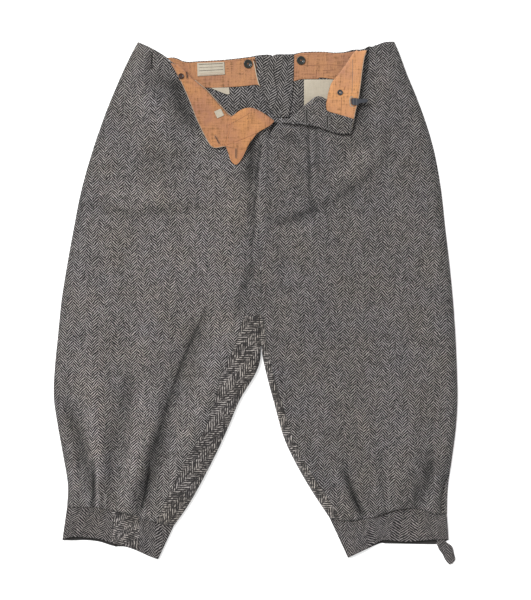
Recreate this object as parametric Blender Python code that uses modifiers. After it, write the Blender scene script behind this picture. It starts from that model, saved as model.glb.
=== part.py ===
"""Knee-length tweed trousers laid flat with the front up, the waist open and both fronts turned out.

Tables hold millimetres: x runs to the right of the picture, y towards the waist, z up from the table.
The wearer's right leg is on the left of the picture.
"""

import math

import bmesh
import bpy
import numpy as np
from mathutils import Vector
from mathutils.bvhtree import BVHTree

MM = 0.001
CENTRE_Y = -1.5  # middle of the outline, taken to y = 0

# Cloth and gaps
TWEED = 2.0
COTTON = 1.0
SEAM_GAP = 0.3
BAND_GAP = 0.9

# Side edge, where a front meets its back: the outer faces stand upright here
EDGE_LOW = 3.2
EDGE_HIGH = EDGE_LOW + SEAM_GAP
UPRIGHT = 1.0
BACK_ROUND = 4.0
SIDE_ROUND = 20.0
INNER_ROUND = {"right": 16.0, "left": 9.0}
LOWEST_TOP = 6.4  # a front's outer face never comes nearer to the table than this

# Turned-out fronts
FOLD_RADIUS = 2.0
FACING_GAP = 0.5
FOLD_DEPTH = FOLD_RADIUS + TWEED + FACING_GAP + COTTON
ROLL_STEPS = 4
FLAP_STEPS = 6

# Grid sizes
BODY_ROWS = 27
BODY_COLUMNS = 17
BACK_COLUMNS = 11
BAND_COLUMNS = 11
TONGUE_ROWS = 9
ACROSS_TONGUE = (0.0, 0.25, 0.5, 0.75, 1.0)  # shares of a tongue's width
EDGE_STEP = 1.5  # the last column but one stands this far inside the front edge
DROP_REACH = 28.0  # how far the drop at the front edge reaches into the cloth
STRIP_SHARES = (0.0, 0.06, 0.2, 0.45, 0.75)  # columns of the strip along the inner leg
BLEND_POWER = 8  # keeps the side edges straight until close to the waist

# Knee bands
BAND_HEIGHT = 9.0
BAND_FALL = 0.8  # how much lower the band is at its open edge
BAND_ROUND = 12.0

# Buttons: x, y of the centre and diameter
BRACE_BUTTONS = {"right": (-12.0, 382.5, 14.0), "left": (73.0, 388.0, 14.0)}
SMALL_BUTTON = (-119.0, 361.0, 9.5)
BEARER_BUTTON = (135.0, 335.0, 9.0)
BUTTON_LIFT = 1.0  # above the cloth, so that a tilted button clears it

# Patches: x, y of the centre, width, length, turn in degrees, thickness, arch in the middle
TROUSER_HOOK = (156.5, 320.5, 13.0, 9.0, -14.0, 1.0, 0.0)
LAUNDRY_TAB = (-60.5, 303.0, 12.0, 12.0, 25.0, 1.0, 0.0)
BELT_LOOP = (-170.5, 386.0, 8.0, 26.0, 3.0, 1.5, 1.2)
PATCH_LIFT = 0.5

# Colours, linear
TWEED_COLOUR = (0.135, 0.131, 0.125)
TAN = (0.48, 0.28, 0.16)
IVORY = (0.62, 0.56, 0.46)
CREAM = (0.55, 0.45, 0.33)
HORN = (0.02, 0.022, 0.02)
BROWN = (0.05, 0.025, 0.02)
STEEL = (0.12, 0.13, 0.15)

# Each row is a station from the knee band to the waist:
# outer x, outer y, front edge x, front edge y, inner x, inner y, back edge x, back edge y,
# height of the top, drop at the front edge, 1 where the back wraps round the inner leg
RIGHT_ROWS = (
    (-302.0, -326.5, -158.5, -351.8, -131.5, -359.0, -131.5, -359.0, 9.0, 0.0, 1),
    (-301.0, -290.5, -138.5, -305.0, -104.0, -319.0, -104.0, -319.0, 11.0, 0.0, 1),
    (-309.5, -239.0, -111.0, -252.0, -69.5, -255.0, -69.5, -255.0, 12.0, 0.0, 1),
    (-317.5, -194.5, -81.5, -204.0, -45.5, -204.0, -45.5, -204.0, 12.0, 0.0, 1),
    (-323.5, -149.5, -65.5, -158.0, -25.0, -156.0, -25.0, -156.0, 12.0, 0.0, 1),
    (-321.5, -101.5, -53.0, -112.0, 1.0, -112.0, 1.0, -112.0, 12.0, 0.0, 1),
    (-317.0, -56.0, -33.0, -70.0, 8.6, -81.0, 8.6, -81.0, 12.0, 0.0, 1),
    (-314.0, -24.0, -21.0, -32.0, 5.5, -38.0, 5.5, -38.0, 11.5, 0.8, 0),
    (-310.5, 8.0, -10.5, 4.0, 5.0, 4.0, 5.0, 4.0, 11.0, 0.8, 0),
    (-302.5, 58.0, -1.0, 55.0, 4.5, 55.0, 8.0, 55.0, 11.0, 0.8, 0),
    (-292.0, 116.0, 4.0, 108.0, 4.5, 108.0, 15.0, 108.0, 10.5, 3.2, 0),
    (-280.0, 177.0, 13.0, 156.0, 13.0, 156.0, 22.0, 156.0, 10.5, 3.6, 0),
    (-263.0, 238.0, 15.0, 196.0, 15.0, 196.0, 29.0, 200.0, 10.0, 3.4, 0),
    (-242.5, 298.0, 17.0, 231.0, 17.0, 231.0, 37.0, 248.0, 9.5, 3.0, 0),
    (-224.0, 344.0, 19.0, 256.0, 19.0, 256.0, 41.0, 296.0, 9.0, 2.6, 0),
    (-208.5, 379.0, 24.0, 273.0, 24.0, 273.0, 35.0, 346.0, 8.5, 2.0, 0),
    (-197.0, 402.0, 27.0, 284.0, 27.0, 284.0, 27.2, 396.0, 8.0, 1.5, 0),
)
LEFT_ROWS = (
    (307.0, -341.5, 137.0, -348.5, 118.5, -345.0, 118.5, -345.0, 9.0, 0.0, 1),
    (308.5, -297.0, 111.0, -305.0, 92.0, -305.0, 92.0, -305.0, 11.0, 0.0, 1),
    (315.0, -250.0, 82.5, -261.5, 66.5, -261.5, 66.5, -261.5, 12.0, 0.0, 1),
    (321.0, -204.0, 60.0, -217.0, 45.5, -217.0, 45.5, -217.0, 12.0, 0.0, 1),
    (324.0, -156.0, 43.5, -164.0, 30.5, -164.0, 30.5, -164.0, 12.0, 0.0, 1),
    (323.0, -106.0, 30.0, -119.0, 18.5, -119.0, 18.5, -119.0, 12.0, 0.0, 1),
    (321.0, -60.0, 20.0, -76.0, 10.4, -81.5, 10.4, -81.5, 12.0, 0.0, 1),
    (319.0, -28.0, 14.0, -36.0, 6.3, -38.0, 6.3, -38.0, 11.5, 0.8, 0),
    (316.5, 6.0, 10.5, 4.0, 5.6, 4.0, 5.6, 4.0, 11.0, 0.8, 0),
    (311.0, 62.0, 8.0, 55.0, 5.0, 55.0, 8.6, 55.0, 11.0, 0.8, 0),
    (304.0, 122.0, 5.3, 108.0, 4.8, 108.0, 15.6, 108.0, 11.0, 0.5, 0),
    (297.0, 184.0, 4.2, 156.0, 4.2, 156.0, 22.6, 156.0, 11.0, 0.5, 0),
    (285.0, 248.0, 3.8, 196.0, 3.8, 196.0, 29.6, 200.0, 11.0, 0.5, 0),
    (267.0, 306.0, 5.0, 228.0, 5.0, 228.0, 37.6, 248.0, 10.8, 0.5, 0),
    (249.0, 349.0, 9.8, 255.0, 9.8, 255.0, 41.6, 296.0, 10.5, 0.4, 0),
    (237.0, 382.0, 21.0, 279.0, 21.0, 279.0, 35.6, 346.0, 10.3, 0.3, 0),
    (229.5, 402.0, 42.0, 284.5, 42.0, 284.5, 27.8, 396.0, 10.0, 0.2, 0),
)

# The seam between leg and knee band, from the outer side to the inner one: x, y
RIGHT_BAND_SEAM = (
    (-302.0, -326.5), (-274.5, -328.0), (-254.5, -327.5), (-237.5, -331.0), (-217.5, -335.0),
    (-200.0, -339.5), (-186.0, -343.5), (-171.5, -348.5), (-158.5, -351.8), (-131.5, -359.0),
)
LEFT_BAND_SEAM = (
    (307.0, -341.5), (283.5, -338.0), (269.0, -332.0), (252.0, -329.5), (226.5, -332.0),
    (205.0, -338.5), (188.0, -344.0), (169.0, -347.0), (155.0, -349.0), (137.0, -348.5), (118.5, -345.0),
)
# The bands' lower edges: x, y of the front half, y of the back half
RIGHT_BAND_HEM = (
    (-309.5, -379.0, -381.0), (-293.0, -375.5, -381.5), (-271.5, -376.5, -381.0), (-250.5, -378.5, -383.5),
    (-231.5, -384.5, -389.5), (-221.5, -387.0, -391.0), (-207.5, -390.0, -392.0), (-186.0, -399.0, -399.5),
    (-171.5, -405.5, -405.5), (-156.0, -411.5, -411.5),
)
LEFT_BAND_HEM = (
    (309.5, -379.0, -381.0), (293.5, -379.5, -387.0), (269.5, -381.0, -387.5), (241.0, -383.0, -387.0),
    (210.5, -380.5, -386.5), (199.0, -382.5, -386.5), (175.0, -396.0, -397.0), (162.5, -402.0, -402.0),
    (148.0, -409.0, -409.0),
)

# The turned-out tops, from the side seam to the front edge:
# fold x, fold y, waist edge x, waist edge y, height of the waist edge, how far turned (0 to 1)
RIGHT_FLAP = (
    (-197.0, 402.0, -188.5, 417.5, 3.5, 0.0),
    (-176.0, 394.0, -168.0, 408.0, 9.0, 0.0),
    (-156.0, 385.0, -146.0, 395.0, 10.0, 0.1),
    (-128.0, 379.0, -137.5, 384.5, 12.5, 0.8),
    (-109.5, 366.0, -126.0, 366.0, 14.0, 1.0),
    (-96.0, 353.0, -118.5, 350.0, 14.5, 1.0),
    (-79.0, 339.0, -109.5, 330.5, 14.5, 1.0),
    (-66.0, 325.0, -102.0, 311.5, 14.0, 1.0),
    (-54.0, 312.0, -93.0, 289.0, 13.5, 1.0),
    (-45.0, 302.0, -76.5, 256.5, 13.0, 1.0),
    (-41.0, 299.5, -66.5, 246.5, 12.7, 1.0),
    (-37.0, 297.5, -49.0, 248.5, 12.5, 1.0),
    (-20.0, 309.0, -38.0, 246.5, 12.0, 1.0),
    (-6.0, 311.5, -31.0, 246.0, 12.0, 1.0),
    (10.0, 305.0, -23.0, 246.0, 12.0, 1.0),
    (31.0, 290.5, -15.0, 246.0, 12.0, 1.0),
)
LEFT_FLAP = (
    (229.5, 402.0, 222.5, 418.0, 3.5, 0.0),
    (209.0, 403.0, 206.0, 416.5, 10.0, 0.0),
    (192.0, 397.0, 190.0, 410.0, 12.0, 0.1),
    (166.0, 401.0, 180.5, 406.5, 15.0, 0.7),
    (155.0, 396.0, 175.0, 393.0, 18.0, 1.0),
    (145.0, 382.0, 171.0, 370.0, 19.0, 1.0),
    (133.0, 366.0, 168.0, 345.0, 18.0, 1.0),
    (122.0, 352.0, 165.0, 324.0, 17.0, 1.0),
    (116.5, 336.0, 161.0, 308.0, 15.5, 1.0),
    (112.5, 322.0, 158.0, 293.0, 14.5, 1.0),
    (98.0, 327.5, 157.0, 288.0, 14.5, 1.0),
    (86.0, 320.0, 156.0, 283.0, 14.5, 1.0),
    (72.0, 307.5, 155.5, 279.0, 14.5, 1.0),
    (56.0, 292.5, 154.8, 274.5, 14.5, 1.0),
    (37.5, 288.0, 154.0, 270.0, 14.5, 1.0),
)
# The free edge of the turned-out fly, from the fold to the waist edge: x, y
RIGHT_FLY_EDGE = ((31.0, 290.5), (24.5, 285.0), (7.0, 274.5), (-5.0, 260.5), (-15.0, 246.0))
LEFT_FLY_EDGE = (
    (37.5, 288.0), (55.0, 286.5), (81.0, 284.5), (98.0, 280.5), (115.0, 274.5), (132.5, 270.0), (154.0, 270.0),
)
FLAP_BORDER = {"right": 11, "left": 9}  # row of the flap tables where the waist facing ends

# The back's waist edge, from the side seam to the centre back: x, y
RIGHT_BACK_TOP = (
    (-188.5, 416.0), (-166.0, 404.0), (-146.0, 393.2), (-129.5, 393.0), (-112.0, 386.5), (-86.5, 387.5),
    (-50.5, 389.5), (-10.5, 394.0), (2.5, 396.5), (20.0, 397.8), (27.2, 396.0),
)
LEFT_BACK_TOP = (
    (222.5, 416.5), (201.5, 414.5), (188.0, 408.5), (170.0, 406.0), (156.0, 405.5), (143.0, 402.0),
    (125.5, 401.0), (108.0, 402.5), (78.0, 402.0), (58.0, 398.5), (34.0, 398.2), (27.8, 396.0),
)

# Folds of the fronts: x, y of the start, x, y of the end, bow to the left, half width, height (minus: a trough)
FOLDS = (
    (-81.0, -28.0, -129.0, -148.0, -8.0, 26.0, -4.0),
    (-120.0, -120.0, -178.0, -322.0, 14.0, 17.0, -5.0),
    (-41.0, -12.0, -105.0, -196.0, 10.0, 24.0, 4.0),
    (-100.0, -170.0, -142.0, -318.0, 6.0, 20.0, 8.0),
    (-193.0, -124.0, -231.0, -318.0, -10.0, 18.0, -4.5),
    (-150.0, -170.0, -208.0, -322.0, 0.0, 17.0, 6.0),
    (-265.0, -100.0, -243.0, -316.0, -10.0, 18.0, 6.0),
    (-305.0, -150.0, -259.0, -322.0, 8.0, 15.0, -4.0),
    (-256.0, 156.0, -130.0, 182.0, 8.0, 20.0, -2.5),
    (-262.0, 130.0, -150.0, 152.0, 8.0, 22.0, 3.0),
    (-152.0, 140.0, -64.0, 122.0, -6.0, 16.0, -2.0),
    (-264.0, 66.0, -200.0, 58.0, -4.0, 18.0, -2.0),
    (-155.0, 372.0, -112.0, 286.0, 0.0, 22.0, -2.6),
    (-190.0, 380.0, -168.0, 250.0, 6.0, 20.0, 4.0),
    (-60.0, 230.0, -20.0, 120.0, 8.0, 24.0, 3.0),
    (71.0, -196.0, 170.0, -326.0, -8.0, 15.0, -5.0),
    (103.0, -150.0, 167.0, -300.0, 0.0, 20.0, 7.0),
    (60.0, -190.0, 130.0, -322.0, -6.0, 16.0, 4.0),
    (287.0, -230.0, 256.0, -326.0, 6.0, 15.0, -4.0),
    (250.0, -150.0, 220.0, -322.0, 8.0, 22.0, 5.0),
    (95.0, 156.0, 39.0, 118.0, 4.0, 16.0, -2.5),
    (111.0, 188.0, 205.0, 256.0, 6.0, 17.0, -3.0),
    (140.0, 180.0, 235.0, 225.0, 0.0, 22.0, 3.0),
    (184.0, 372.0, 186.0, 252.0, 0.0, 12.0, -3.0),
    (212.0, 380.0, 222.0, 250.0, -6.0, 20.0, 4.0),
    (78.0, 282.0, 92.0, 150.0, 3.0, 5.0, -2.5),
    (98.0, 280.0, 106.0, 120.0, -2.0, 5.0, -2.5),
    (88.0, 278.0, 98.0, 160.0, 0.0, 7.0, 2.5),
    (140.0, 60.0, 60.0, -30.0, 8.0, 26.0, 3.0),
)

SIDES = {
    "right": {
        "rows": RIGHT_ROWS, "seam": RIGHT_BAND_SEAM, "hem": RIGHT_BAND_HEM, "flap": RIGHT_FLAP,
        "fly": RIGHT_FLY_EDGE, "back_top": RIGHT_BACK_TOP, "sign": 1.0, "seam_share": 8.0 / 9.0,
    },
    "left": {
        "rows": LEFT_ROWS, "seam": LEFT_BAND_SEAM, "hem": LEFT_BAND_HEM, "flap": LEFT_FLAP,
        "fly": LEFT_FLY_EDGE, "back_top": LEFT_BACK_TOP, "sign": -1.0, "seam_share": 9.0 / 10.0,
    },
}
FORK_ROW = 6
TONGUE_ROW = 10
PLACKET_ROWS = 1.5  # the left leg's side opening runs up to this row
PLACKET_DEPTH = 9.5
PLACKET_START = 0.041  # share of the knee seam that the opening takes

# Flat pieces inside the open waist: x, y of each corner
BACK_FACING_RIGHT = (
    (-146.0, 391.5), (-129.5, 391.3), (-112.0, 385.0), (-86.5, 386.0), (-50.5, 388.0), (-10.5, 392.5),
    (-1.3, 393.6), (1.0, 381.0), (3.5, 364.5), (9.2, 344.9), (2.0, 349.0), (-15.0, 347.5), (-42.5, 345.2),
    (-79.5, 344.6), (-120.0, 350.0),
)
BACK_FACING_LEFT = (
    (62.0, 396.9), (75.0, 400.3), (111.0, 401.0), (125.5, 399.5), (144.0, 400.5), (165.0, 404.0),
    (165.0, 352.0), (125.0, 358.2), (104.0, 360.5), (98.0, 358.2), (75.0, 358.2), (61.3, 354.8),
)
SEAM_TURNING_RIGHT = (
    (-0.9, 393.9), (1.4, 381.0), (3.9, 364.5), (10.0, 343.0), (18.0, 324.5), (25.5, 310.0), (33.0, 297.0),
    (42.0, 297.0), (40.5, 305.0), (36.5, 324.0), (32.2, 350.0), (29.6, 367.5), (27.2, 394.6),
)
SEAM_TURNING_LEFT = (
    (27.7, 394.6), (30.1, 367.5), (32.7, 350.0), (37.0, 324.0), (41.0, 305.0), (42.5, 297.0), (53.0, 297.0),
    (56.3, 314.5), (59.3, 333.0), (60.8, 356.0), (61.6, 396.6),
)
POCKET_RIGHT = ((-71.0, 344.2), (-42.5, 344.8), (-41.5, 334.5), (-46.5, 334.0), (-63.5, 340.5))
POCKET_LEFT = ((77.8, 357.6), (124.5, 357.6), (124.5, 318.0), (95.0, 316.0), (84.0, 306.0), (77.8, 302.0))
LABEL = ((-93.5, 384.0), (-93.0, 362.5), (-49.0, 365.5), (-50.0, 385.5))
UNDERLAP = ((293.5, -289.0), (300.0, -296.0), (300.5, -336.0), (288.0, -336.0), (284.0, -312.0))

# Tongues: left x, left y, right x, right y, height of the upper face
BEARER_TONGUE = (
    (-46.0, 245.6, -15.5, 243.2, 15.0), (-45.0, 241.0, -16.5, 240.5, 14.6), (-43.0, 235.0, -18.5, 234.0, 14.2),
    (-39.5, 228.0, -22.0, 227.0, 13.9), (-35.0, 222.5, -26.0, 222.5, 13.7), (-32.5, 220.4, -28.5, 220.4, 13.6),
)
STRAP_END = (
    (289.0, -372.0, 302.5, -371.0, 4.8), (290.0, -384.0, 304.0, -382.0, 4.8), (293.5, -395.0, 315.0, -391.0, 3.6),
    (300.0, -404.0, 318.7, -404.0, 2.8), (304.2, -412.8, 320.4, -412.0, 2.5), (311.0, -420.4, 316.2, -418.6, 2.4),
)


def clear_scene():
    for obj in list(bpy.data.objects):
        bpy.data.objects.remove(obj, do_unlink=True)


def spline(table, share):
    """A smooth curve through the rows of a table, at a share of its length counted in rows."""
    rows = np.asarray(table, float)
    place = min(max(share, 0.0), 1.0) * (len(rows) - 1)
    low = min(int(place), len(rows) - 2)
    t = place - low
    before = rows[low - 1] if low else 2 * rows[0] - rows[1]
    after = rows[low + 2] if low + 2 < len(rows) else 2 * rows[-1] - rows[-2]
    start, end = rows[low], rows[low + 1]
    return start + 0.5 * t * (
        end - before + t * (2 * before - 5 * start + 4 * end - after + t * (3 * (start - end) + after - before))
    )


def row_at(side, v):
    """Outer, front edge, inner and back edge points, then height, drop and wrap."""
    row = spline(SIDES[side]["rows"], v)
    steady = v * (len(SIDES[side]["rows"]) - 1)
    wrap = min(max(FORK_ROW + 1 - steady, 0.0), 1.0)
    return row[0:2], row[2:4], row[4:6], row[6:8], row[8], row[9], wrap


def rounded(distance, radius):
    share = min(max(distance / radius, 0.0), 1.0)
    return math.sqrt(1.0 - (1.0 - share) ** 2)


def fold_height(x, y):
    total = 0.0
    for x0, y0, x1, y1, bow, width, height in FOLDS:
        length = math.hypot(x1 - x0, y1 - y0)
        along = ((x - x0) * (x1 - x0) + (y - y0) * (y1 - y0)) / length**2
        if not -0.25 < along < 1.25:
            continue
        across = ((y - y0) * (x1 - x0) - (x - x0) * (y1 - y0)) / length
        across -= bow * 4.0 * along * (1.0 - along)
        end = min(along + 0.25, 1.25 - along) / 0.5
        fade = math.sin(0.5 * math.pi * min(end, 1.0)) ** 2
        total += height * fade * math.exp(-((across / width) ** 2))
    return total


def top_height(side, v, point, from_outer, from_inner):
    """Height of the outer face of whatever lies on top: a front, or the back's strip along the inner leg."""
    _, _, _, _, height, drop, wrap = row_at(side, v)
    base = EDGE_HIGH + UPRIGHT
    rise = max(height - base + fold_height(*point), LOWEST_TOP - base)
    closing = rounded(from_inner, INNER_ROUND[side])
    seam_dip = 1.0 - (1.0 - closing) * wrap
    lower = drop * math.exp(-((from_inner / DROP_REACH) ** 2))
    return base + rise * rounded(from_outer, SIDE_ROUND) * seam_dip - lower


def coons(left, right, bottom, top, u, v):
    """A point inside four edge curves, each given as a function of a share from 0 to 1."""
    corners = (1 - u) * (1 - v) * left(0) + u * (1 - v) * right(0) + (1 - u) * v * left(1) + u * v * right(1)
    return (1 - u) * left(v) + u * right(v) + (1 - v) * bottom(u) + v * top(u) - corners


def turn_line(side, u):
    """Where the front's outer face starts to turn, with the direction of the turn and the share turned."""
    fx, fy, wx, wy, _, turned = spline(SIDES[side]["flap"], u)
    fold, waist = np.array((fx, fy)), np.array((wx, wy))
    turned = min(max(turned, 0.0), 1.0)
    outward = (fold - waist) / max(np.linalg.norm(fold - waist), 1e-6)
    return fold - FOLD_DEPTH * turned * outward, outward, turned


def front_outer(side, v):
    """The front's side edge: the left one stands back from the back's edge along the opening."""
    outer = row_at(side, v)[0]
    share = v * (len(SIDES[side]["rows"]) - 1) / PLACKET_ROWS
    if side == "left" and share < 1.0:
        outer = outer - np.array((PLACKET_DEPTH * (1 - share**3), 0.0))
    return outer


def blended(edge, end, t):
    """A side edge that leaves its own line for the end of the turn line close to the waist."""
    return edge * (1 - t**BLEND_POWER) + end * t**BLEND_POWER


def front_plan(side, u, v):
    """x, y of a front's outer face below the turn."""
    spec = SIDES[side]
    start = PLACKET_START if side == "left" else 0.0
    return coons(
        lambda t: blended(front_outer(side, t), turn_line(side, 0)[0], t),
        lambda t: blended(row_at(side, t)[1], turn_line(side, 1)[0], t),
        lambda s: spline(spec["seam"], start + s * (spec["seam_share"] - start)),
        lambda s: turn_line(side, s)[0],
        u,
        v,
    )


def side_steps(radius, width, count):
    """Distances from the outer edge: close together on the round, then even, and one near the far edge."""
    near = [radius * (1 - math.cos(math.radians(angle))) for angle in (28, 52, 74)]
    rest = np.linspace(radius, width - EDGE_STEP, count - len(near) - 2)
    return [0.0, *near, *rest, width]


def front_column(side, u_index, v):
    """A point of a front's outer face below the turn. Columns 0 and 1 stand upright on the outer edge."""
    _, edge, inner, _, _, _, _ = row_at(side, v)
    outer = front_outer(side, v)
    width = np.linalg.norm(edge - outer)
    steps = side_steps(SIDE_ROUND, width, BODY_COLUMNS)
    distance = steps[max(u_index - 1, 0)]
    plan = front_plan(side, distance / width, v)
    if u_index == 0:
        return (*plan, EDGE_HIGH)
    beyond = np.linalg.norm(inner - edge)
    flat = distance if u_index < BODY_COLUMNS - 1 else width
    z = top_height(side, v, plan, flat, width - flat + beyond)
    if u_index == BODY_COLUMNS:
        towards = (outer - edge) / width
        plan = plan + towards * 0.5 * SEAM_GAP
    return (plan[0], plan[1], z)


def front_grid(side):
    """Rows from the knee band to the turn, then the roll, then the flap to the waist edge."""
    rows = []
    for v in np.linspace(0.0, 1.0, BODY_ROWS):
        rows.append([front_column(side, k, v) for k in range(BODY_COLUMNS + 1)])
    last = rows[-1]
    shares = flap_shares(side)
    for step in range(1, ROLL_STEPS + FLAP_STEPS + 1):
        rows.append([flap_point(side, u, step, point, k) for k, (u, point) in enumerate(zip(shares, last))])
    return np.array(rows)


def flap_point(side, u, step, start, column):
    """A point of the front's outer face beyond the turn line."""
    spec = SIDES[side]
    line, outward, turned = turn_line(side, u)
    row = spline(spec["flap"], u)
    waist, lift = row[2:4], row[4]
    arc = min(step, ROLL_STEPS) / ROLL_STEPS
    share = max(step - ROLL_STEPS, 0) / FLAP_STEPS
    angle = math.pi * arc
    rolled = line + outward * FOLD_RADIUS * math.sin(angle)
    high = start[2] + FOLD_RADIUS * (1 - math.cos(angle))
    if share:
        bowed = spline(spec["fly"], share)
        straight = spec["fly"][0] + (np.array(spec["fly"][-1]) - spec["fly"][0]) * share
        pull = max((u - 0.8) / 0.2, 0.0) ** 2
        rolled = line + (waist - line) * share + (bowed - straight) * pull
        eased = share * share * (3 - 2 * share)
        high = high + (lift - high) * eased
    total = (step / (ROLL_STEPS + FLAP_STEPS)) ** 1.2
    flat = line + (waist - line) * total
    level = start[2] + (max(lift, start[2]) - start[2]) * total if column > 1 else start[2]
    place = flat * (1 - turned) + rolled * turned
    return (place[0], place[1], level * (1 - turned) + high * turned)


def back_grid(side):
    """Columns: the outer edge's curl, the flat underside, the curl at the inner leg, then the strip on top."""
    spec = SIDES[side]
    rows = []
    for v in np.linspace(0.0, 1.0, BODY_ROWS):
        outer, edge, inner, back, _, _, wrap = row_at(side, v)
        width = np.linalg.norm(back - outer)
        row = []
        for distance, z in under_steps(width, wrap):
            plan = coons(
                lambda t: back_outer(side, t),
                lambda t: row_at(side, t)[3],
                lambda s: spline(spec["seam"], s),
                lambda s: spline(spec["back_top"], s),
                distance / width,
                v,
            )
            row.append((plan[0], plan[1], z))
        strip = np.linalg.norm(edge - inner)
        last_but_one = max(1 - EDGE_STEP / max(strip, 2 * EDGE_STEP), STRIP_SHARES[-1] + 0.05)
        for share in (*STRIP_SHARES, last_but_one, 1.0):
            plan = inner + (edge - inner) * share
            near = strip if share > STRIP_SHARES[-1] else strip * share
            reach = np.linalg.norm(plan - outer)
            z = top_height(side, v, plan, reach, near)
            if share == 1.0 and strip > 0:
                plan = plan + (inner - edge) / strip * 0.5 * SEAM_GAP
            row.append((plan[0], plan[1], z))
        rows.append(row)
    return np.array(rows)


def back_outer(side, t):
    """The back's side edge: the front's, carried on to the corner of the waist."""
    corner = np.array(SIDES[side]["back_top"][0])
    steps = len(SIDES[side]["rows"]) - 1
    share = max(t * steps - (steps - 1), 0.0)
    return row_at(side, t)[0] * (1 - share) + corner * share


def under_steps(width, wrap):
    """Distance from the side edge and height of the underside."""
    high = EDGE_LOW - UPRIGHT
    steps = [(0.0, EDGE_LOW), (0.0, high)]
    for angle in (30, 60, 90):
        turn = math.radians(angle)
        steps.append((BACK_ROUND * (1 - math.cos(turn)), high * (1 - math.sin(turn))))
    for distance in np.linspace(BACK_ROUND, width - BACK_ROUND, BACK_COLUMNS)[1:]:
        steps.append((distance, 0.0))
    for angle in (60, 30, 0):
        turn = math.radians(angle)
        steps.append((width - BACK_ROUND * (1 - math.cos(turn)), wrap * high * (1 - math.sin(turn))))
    return steps


def band_grid(side):
    """A flattened ring: the front half from the outer side to the inner one, then the back half."""
    spec = SIDES[side]
    rows = []
    for w in (0.0, 0.3, 0.65, 1.0):
        front, back = [], []
        for step in band_steps():
            seam = spline(spec["seam"], step)
            hem = spline(spec["hem"], step)
            down = (hem[:2] - seam) / np.linalg.norm(hem[:2] - seam)
            start = seam + down * BAND_GAP
            low = start + (hem[:2] - start) * w
            under = start + (np.array((hem[0], hem[2])) - start) * w
            front.append((low[0], low[1]))
            back.append((under[0], under[1]))
        rows.append(band_ring(front, back, w))
    return np.array(rows)


def band_steps():
    near = (0.0, 0.006, 0.03, 0.075)
    return [*near, *np.linspace(0.14, 0.86, BAND_COLUMNS - 4), *(1 - s for s in reversed(near))]


def band_ring(front, back, w):
    width = np.linalg.norm(np.array(front[-1]) - front[0])
    height = BAND_HEIGHT - BAND_FALL * w
    middle = 0.5 * (EDGE_LOW + EDGE_HIGH) + UPRIGHT
    ring = []
    for step, (x, y) in zip(band_steps(), front):
        edge = min(step, 1 - step) * width
        ring.append((x, y, middle + (height - middle) * rounded(edge, BAND_ROUND)))
    for step, (x, y) in reversed(list(zip(band_steps(), back))):
        edge = min(step, 1 - step) * width
        ring.append((x, y, (middle - UPRIGHT) * (1 - rounded(edge, BACK_ROUND))))
    return ring


def material(name, colour, roughness=0.9, metallic=0.0):
    made = bpy.data.materials.get(name)
    if made:
        return made
    made = bpy.data.materials.new(name)
    made.use_nodes = True
    shader = made.node_tree.nodes["Principled BSDF"]
    shader.inputs["Base Color"].default_value = (*colour, 1.0)
    shader.inputs["Roughness"].default_value = roughness
    shader.inputs["Metallic"].default_value = metallic
    made.diffuse_color = (*colour, 1.0)
    return made


def placed(point):
    return Vector((point[0] * MM, (point[1] - CENTRE_Y) * MM, point[2] * MM))


def add_mesh(name, mesh, paint):
    data = bpy.data.meshes.new(name)
    mesh.to_mesh(data)
    mesh.free()
    obj = bpy.data.objects.new(name, data)
    obj.data.materials.append(paint)
    TROUSERS.objects.link(obj)
    return obj


def add_sheet(name, grid, thickness, paint, flip=False, ring=False, left_out=lambda row, column: False):
    """Cloth from a grid of points on one face, thickened away from the side that the face looks to."""
    mesh = bmesh.new()
    verts = [[mesh.verts.new(placed(point)) for point in row] for row in grid]
    columns = len(verts[0])
    for r in range(len(verts) - 1):
        for c in range(columns if ring else columns - 1):
            if left_out(r, c):
                continue
            n = (c + 1) % columns
            corners = [verts[r][c], verts[r][n], verts[r + 1][n], verts[r + 1][c]]
            mesh.faces.new(corners[::-1] if flip else corners)
    bmesh.ops.delete(mesh, geom=[v for v in mesh.verts if not v.link_faces], context="VERTS")
    obj = add_mesh(name, mesh, paint)
    wall = obj.modifiers.new("wall", "SOLIDIFY")
    wall.thickness = thickness * MM
    wall.offset = -1.0
    wall.use_rim = True
    wall.use_quality_normals = True
    return obj


def add_plate(name, outline, low, thickness, paint):
    """A flat piece with a straight edge, from its outline."""
    mesh = bmesh.new()
    face = mesh.faces.new([mesh.verts.new(placed((x, y, low))) for x, y in outline])
    made = bmesh.ops.extrude_face_region(mesh, geom=[face])
    top = [item for item in made["geom"] if isinstance(item, bmesh.types.BMVert)]
    bmesh.ops.translate(mesh, verts=top, vec=(0, 0, thickness * MM))
    bmesh.ops.recalc_face_normals(mesh, faces=mesh.faces)
    return add_mesh(name, mesh, paint)


def grid_normals(grid):
    across = np.gradient(grid, axis=1)
    along = np.gradient(grid, axis=0)
    normal = np.cross(across, along)
    return normal / np.maximum(np.linalg.norm(normal, axis=2, keepdims=True), 1e-9)


def flap_cover(side, grid, first, last, thickness, name, paint, from_step=ROLL_STEPS // 2, hem_share=0.96):
    """A facing on the turned-out front: the front's own points, moved out through its cloth."""
    normal = grid_normals(grid) * SIDES[side]["sign"]
    moved = grid - normal * (TWEED + FACING_GAP + thickness)
    rows = moved[BODY_ROWS - 1 + from_step :, first : last + 1].copy()
    rows[-1] = rows[-2] + (rows[-1] - rows[-2]) * hem_share
    if last < grid.shape[1] - 1:
        step = rows[:, -2] - rows[:, -1]
        rows[:, -1] += step / np.linalg.norm(step, axis=1, keepdims=True) * SEAM_GAP
    return add_sheet(name, rows, thickness, paint, flip=side == "right")


def surface(obj):
    graph = bpy.context.evaluated_depsgraph_get()
    return BVHTree.FromObject(obj, graph)


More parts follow.
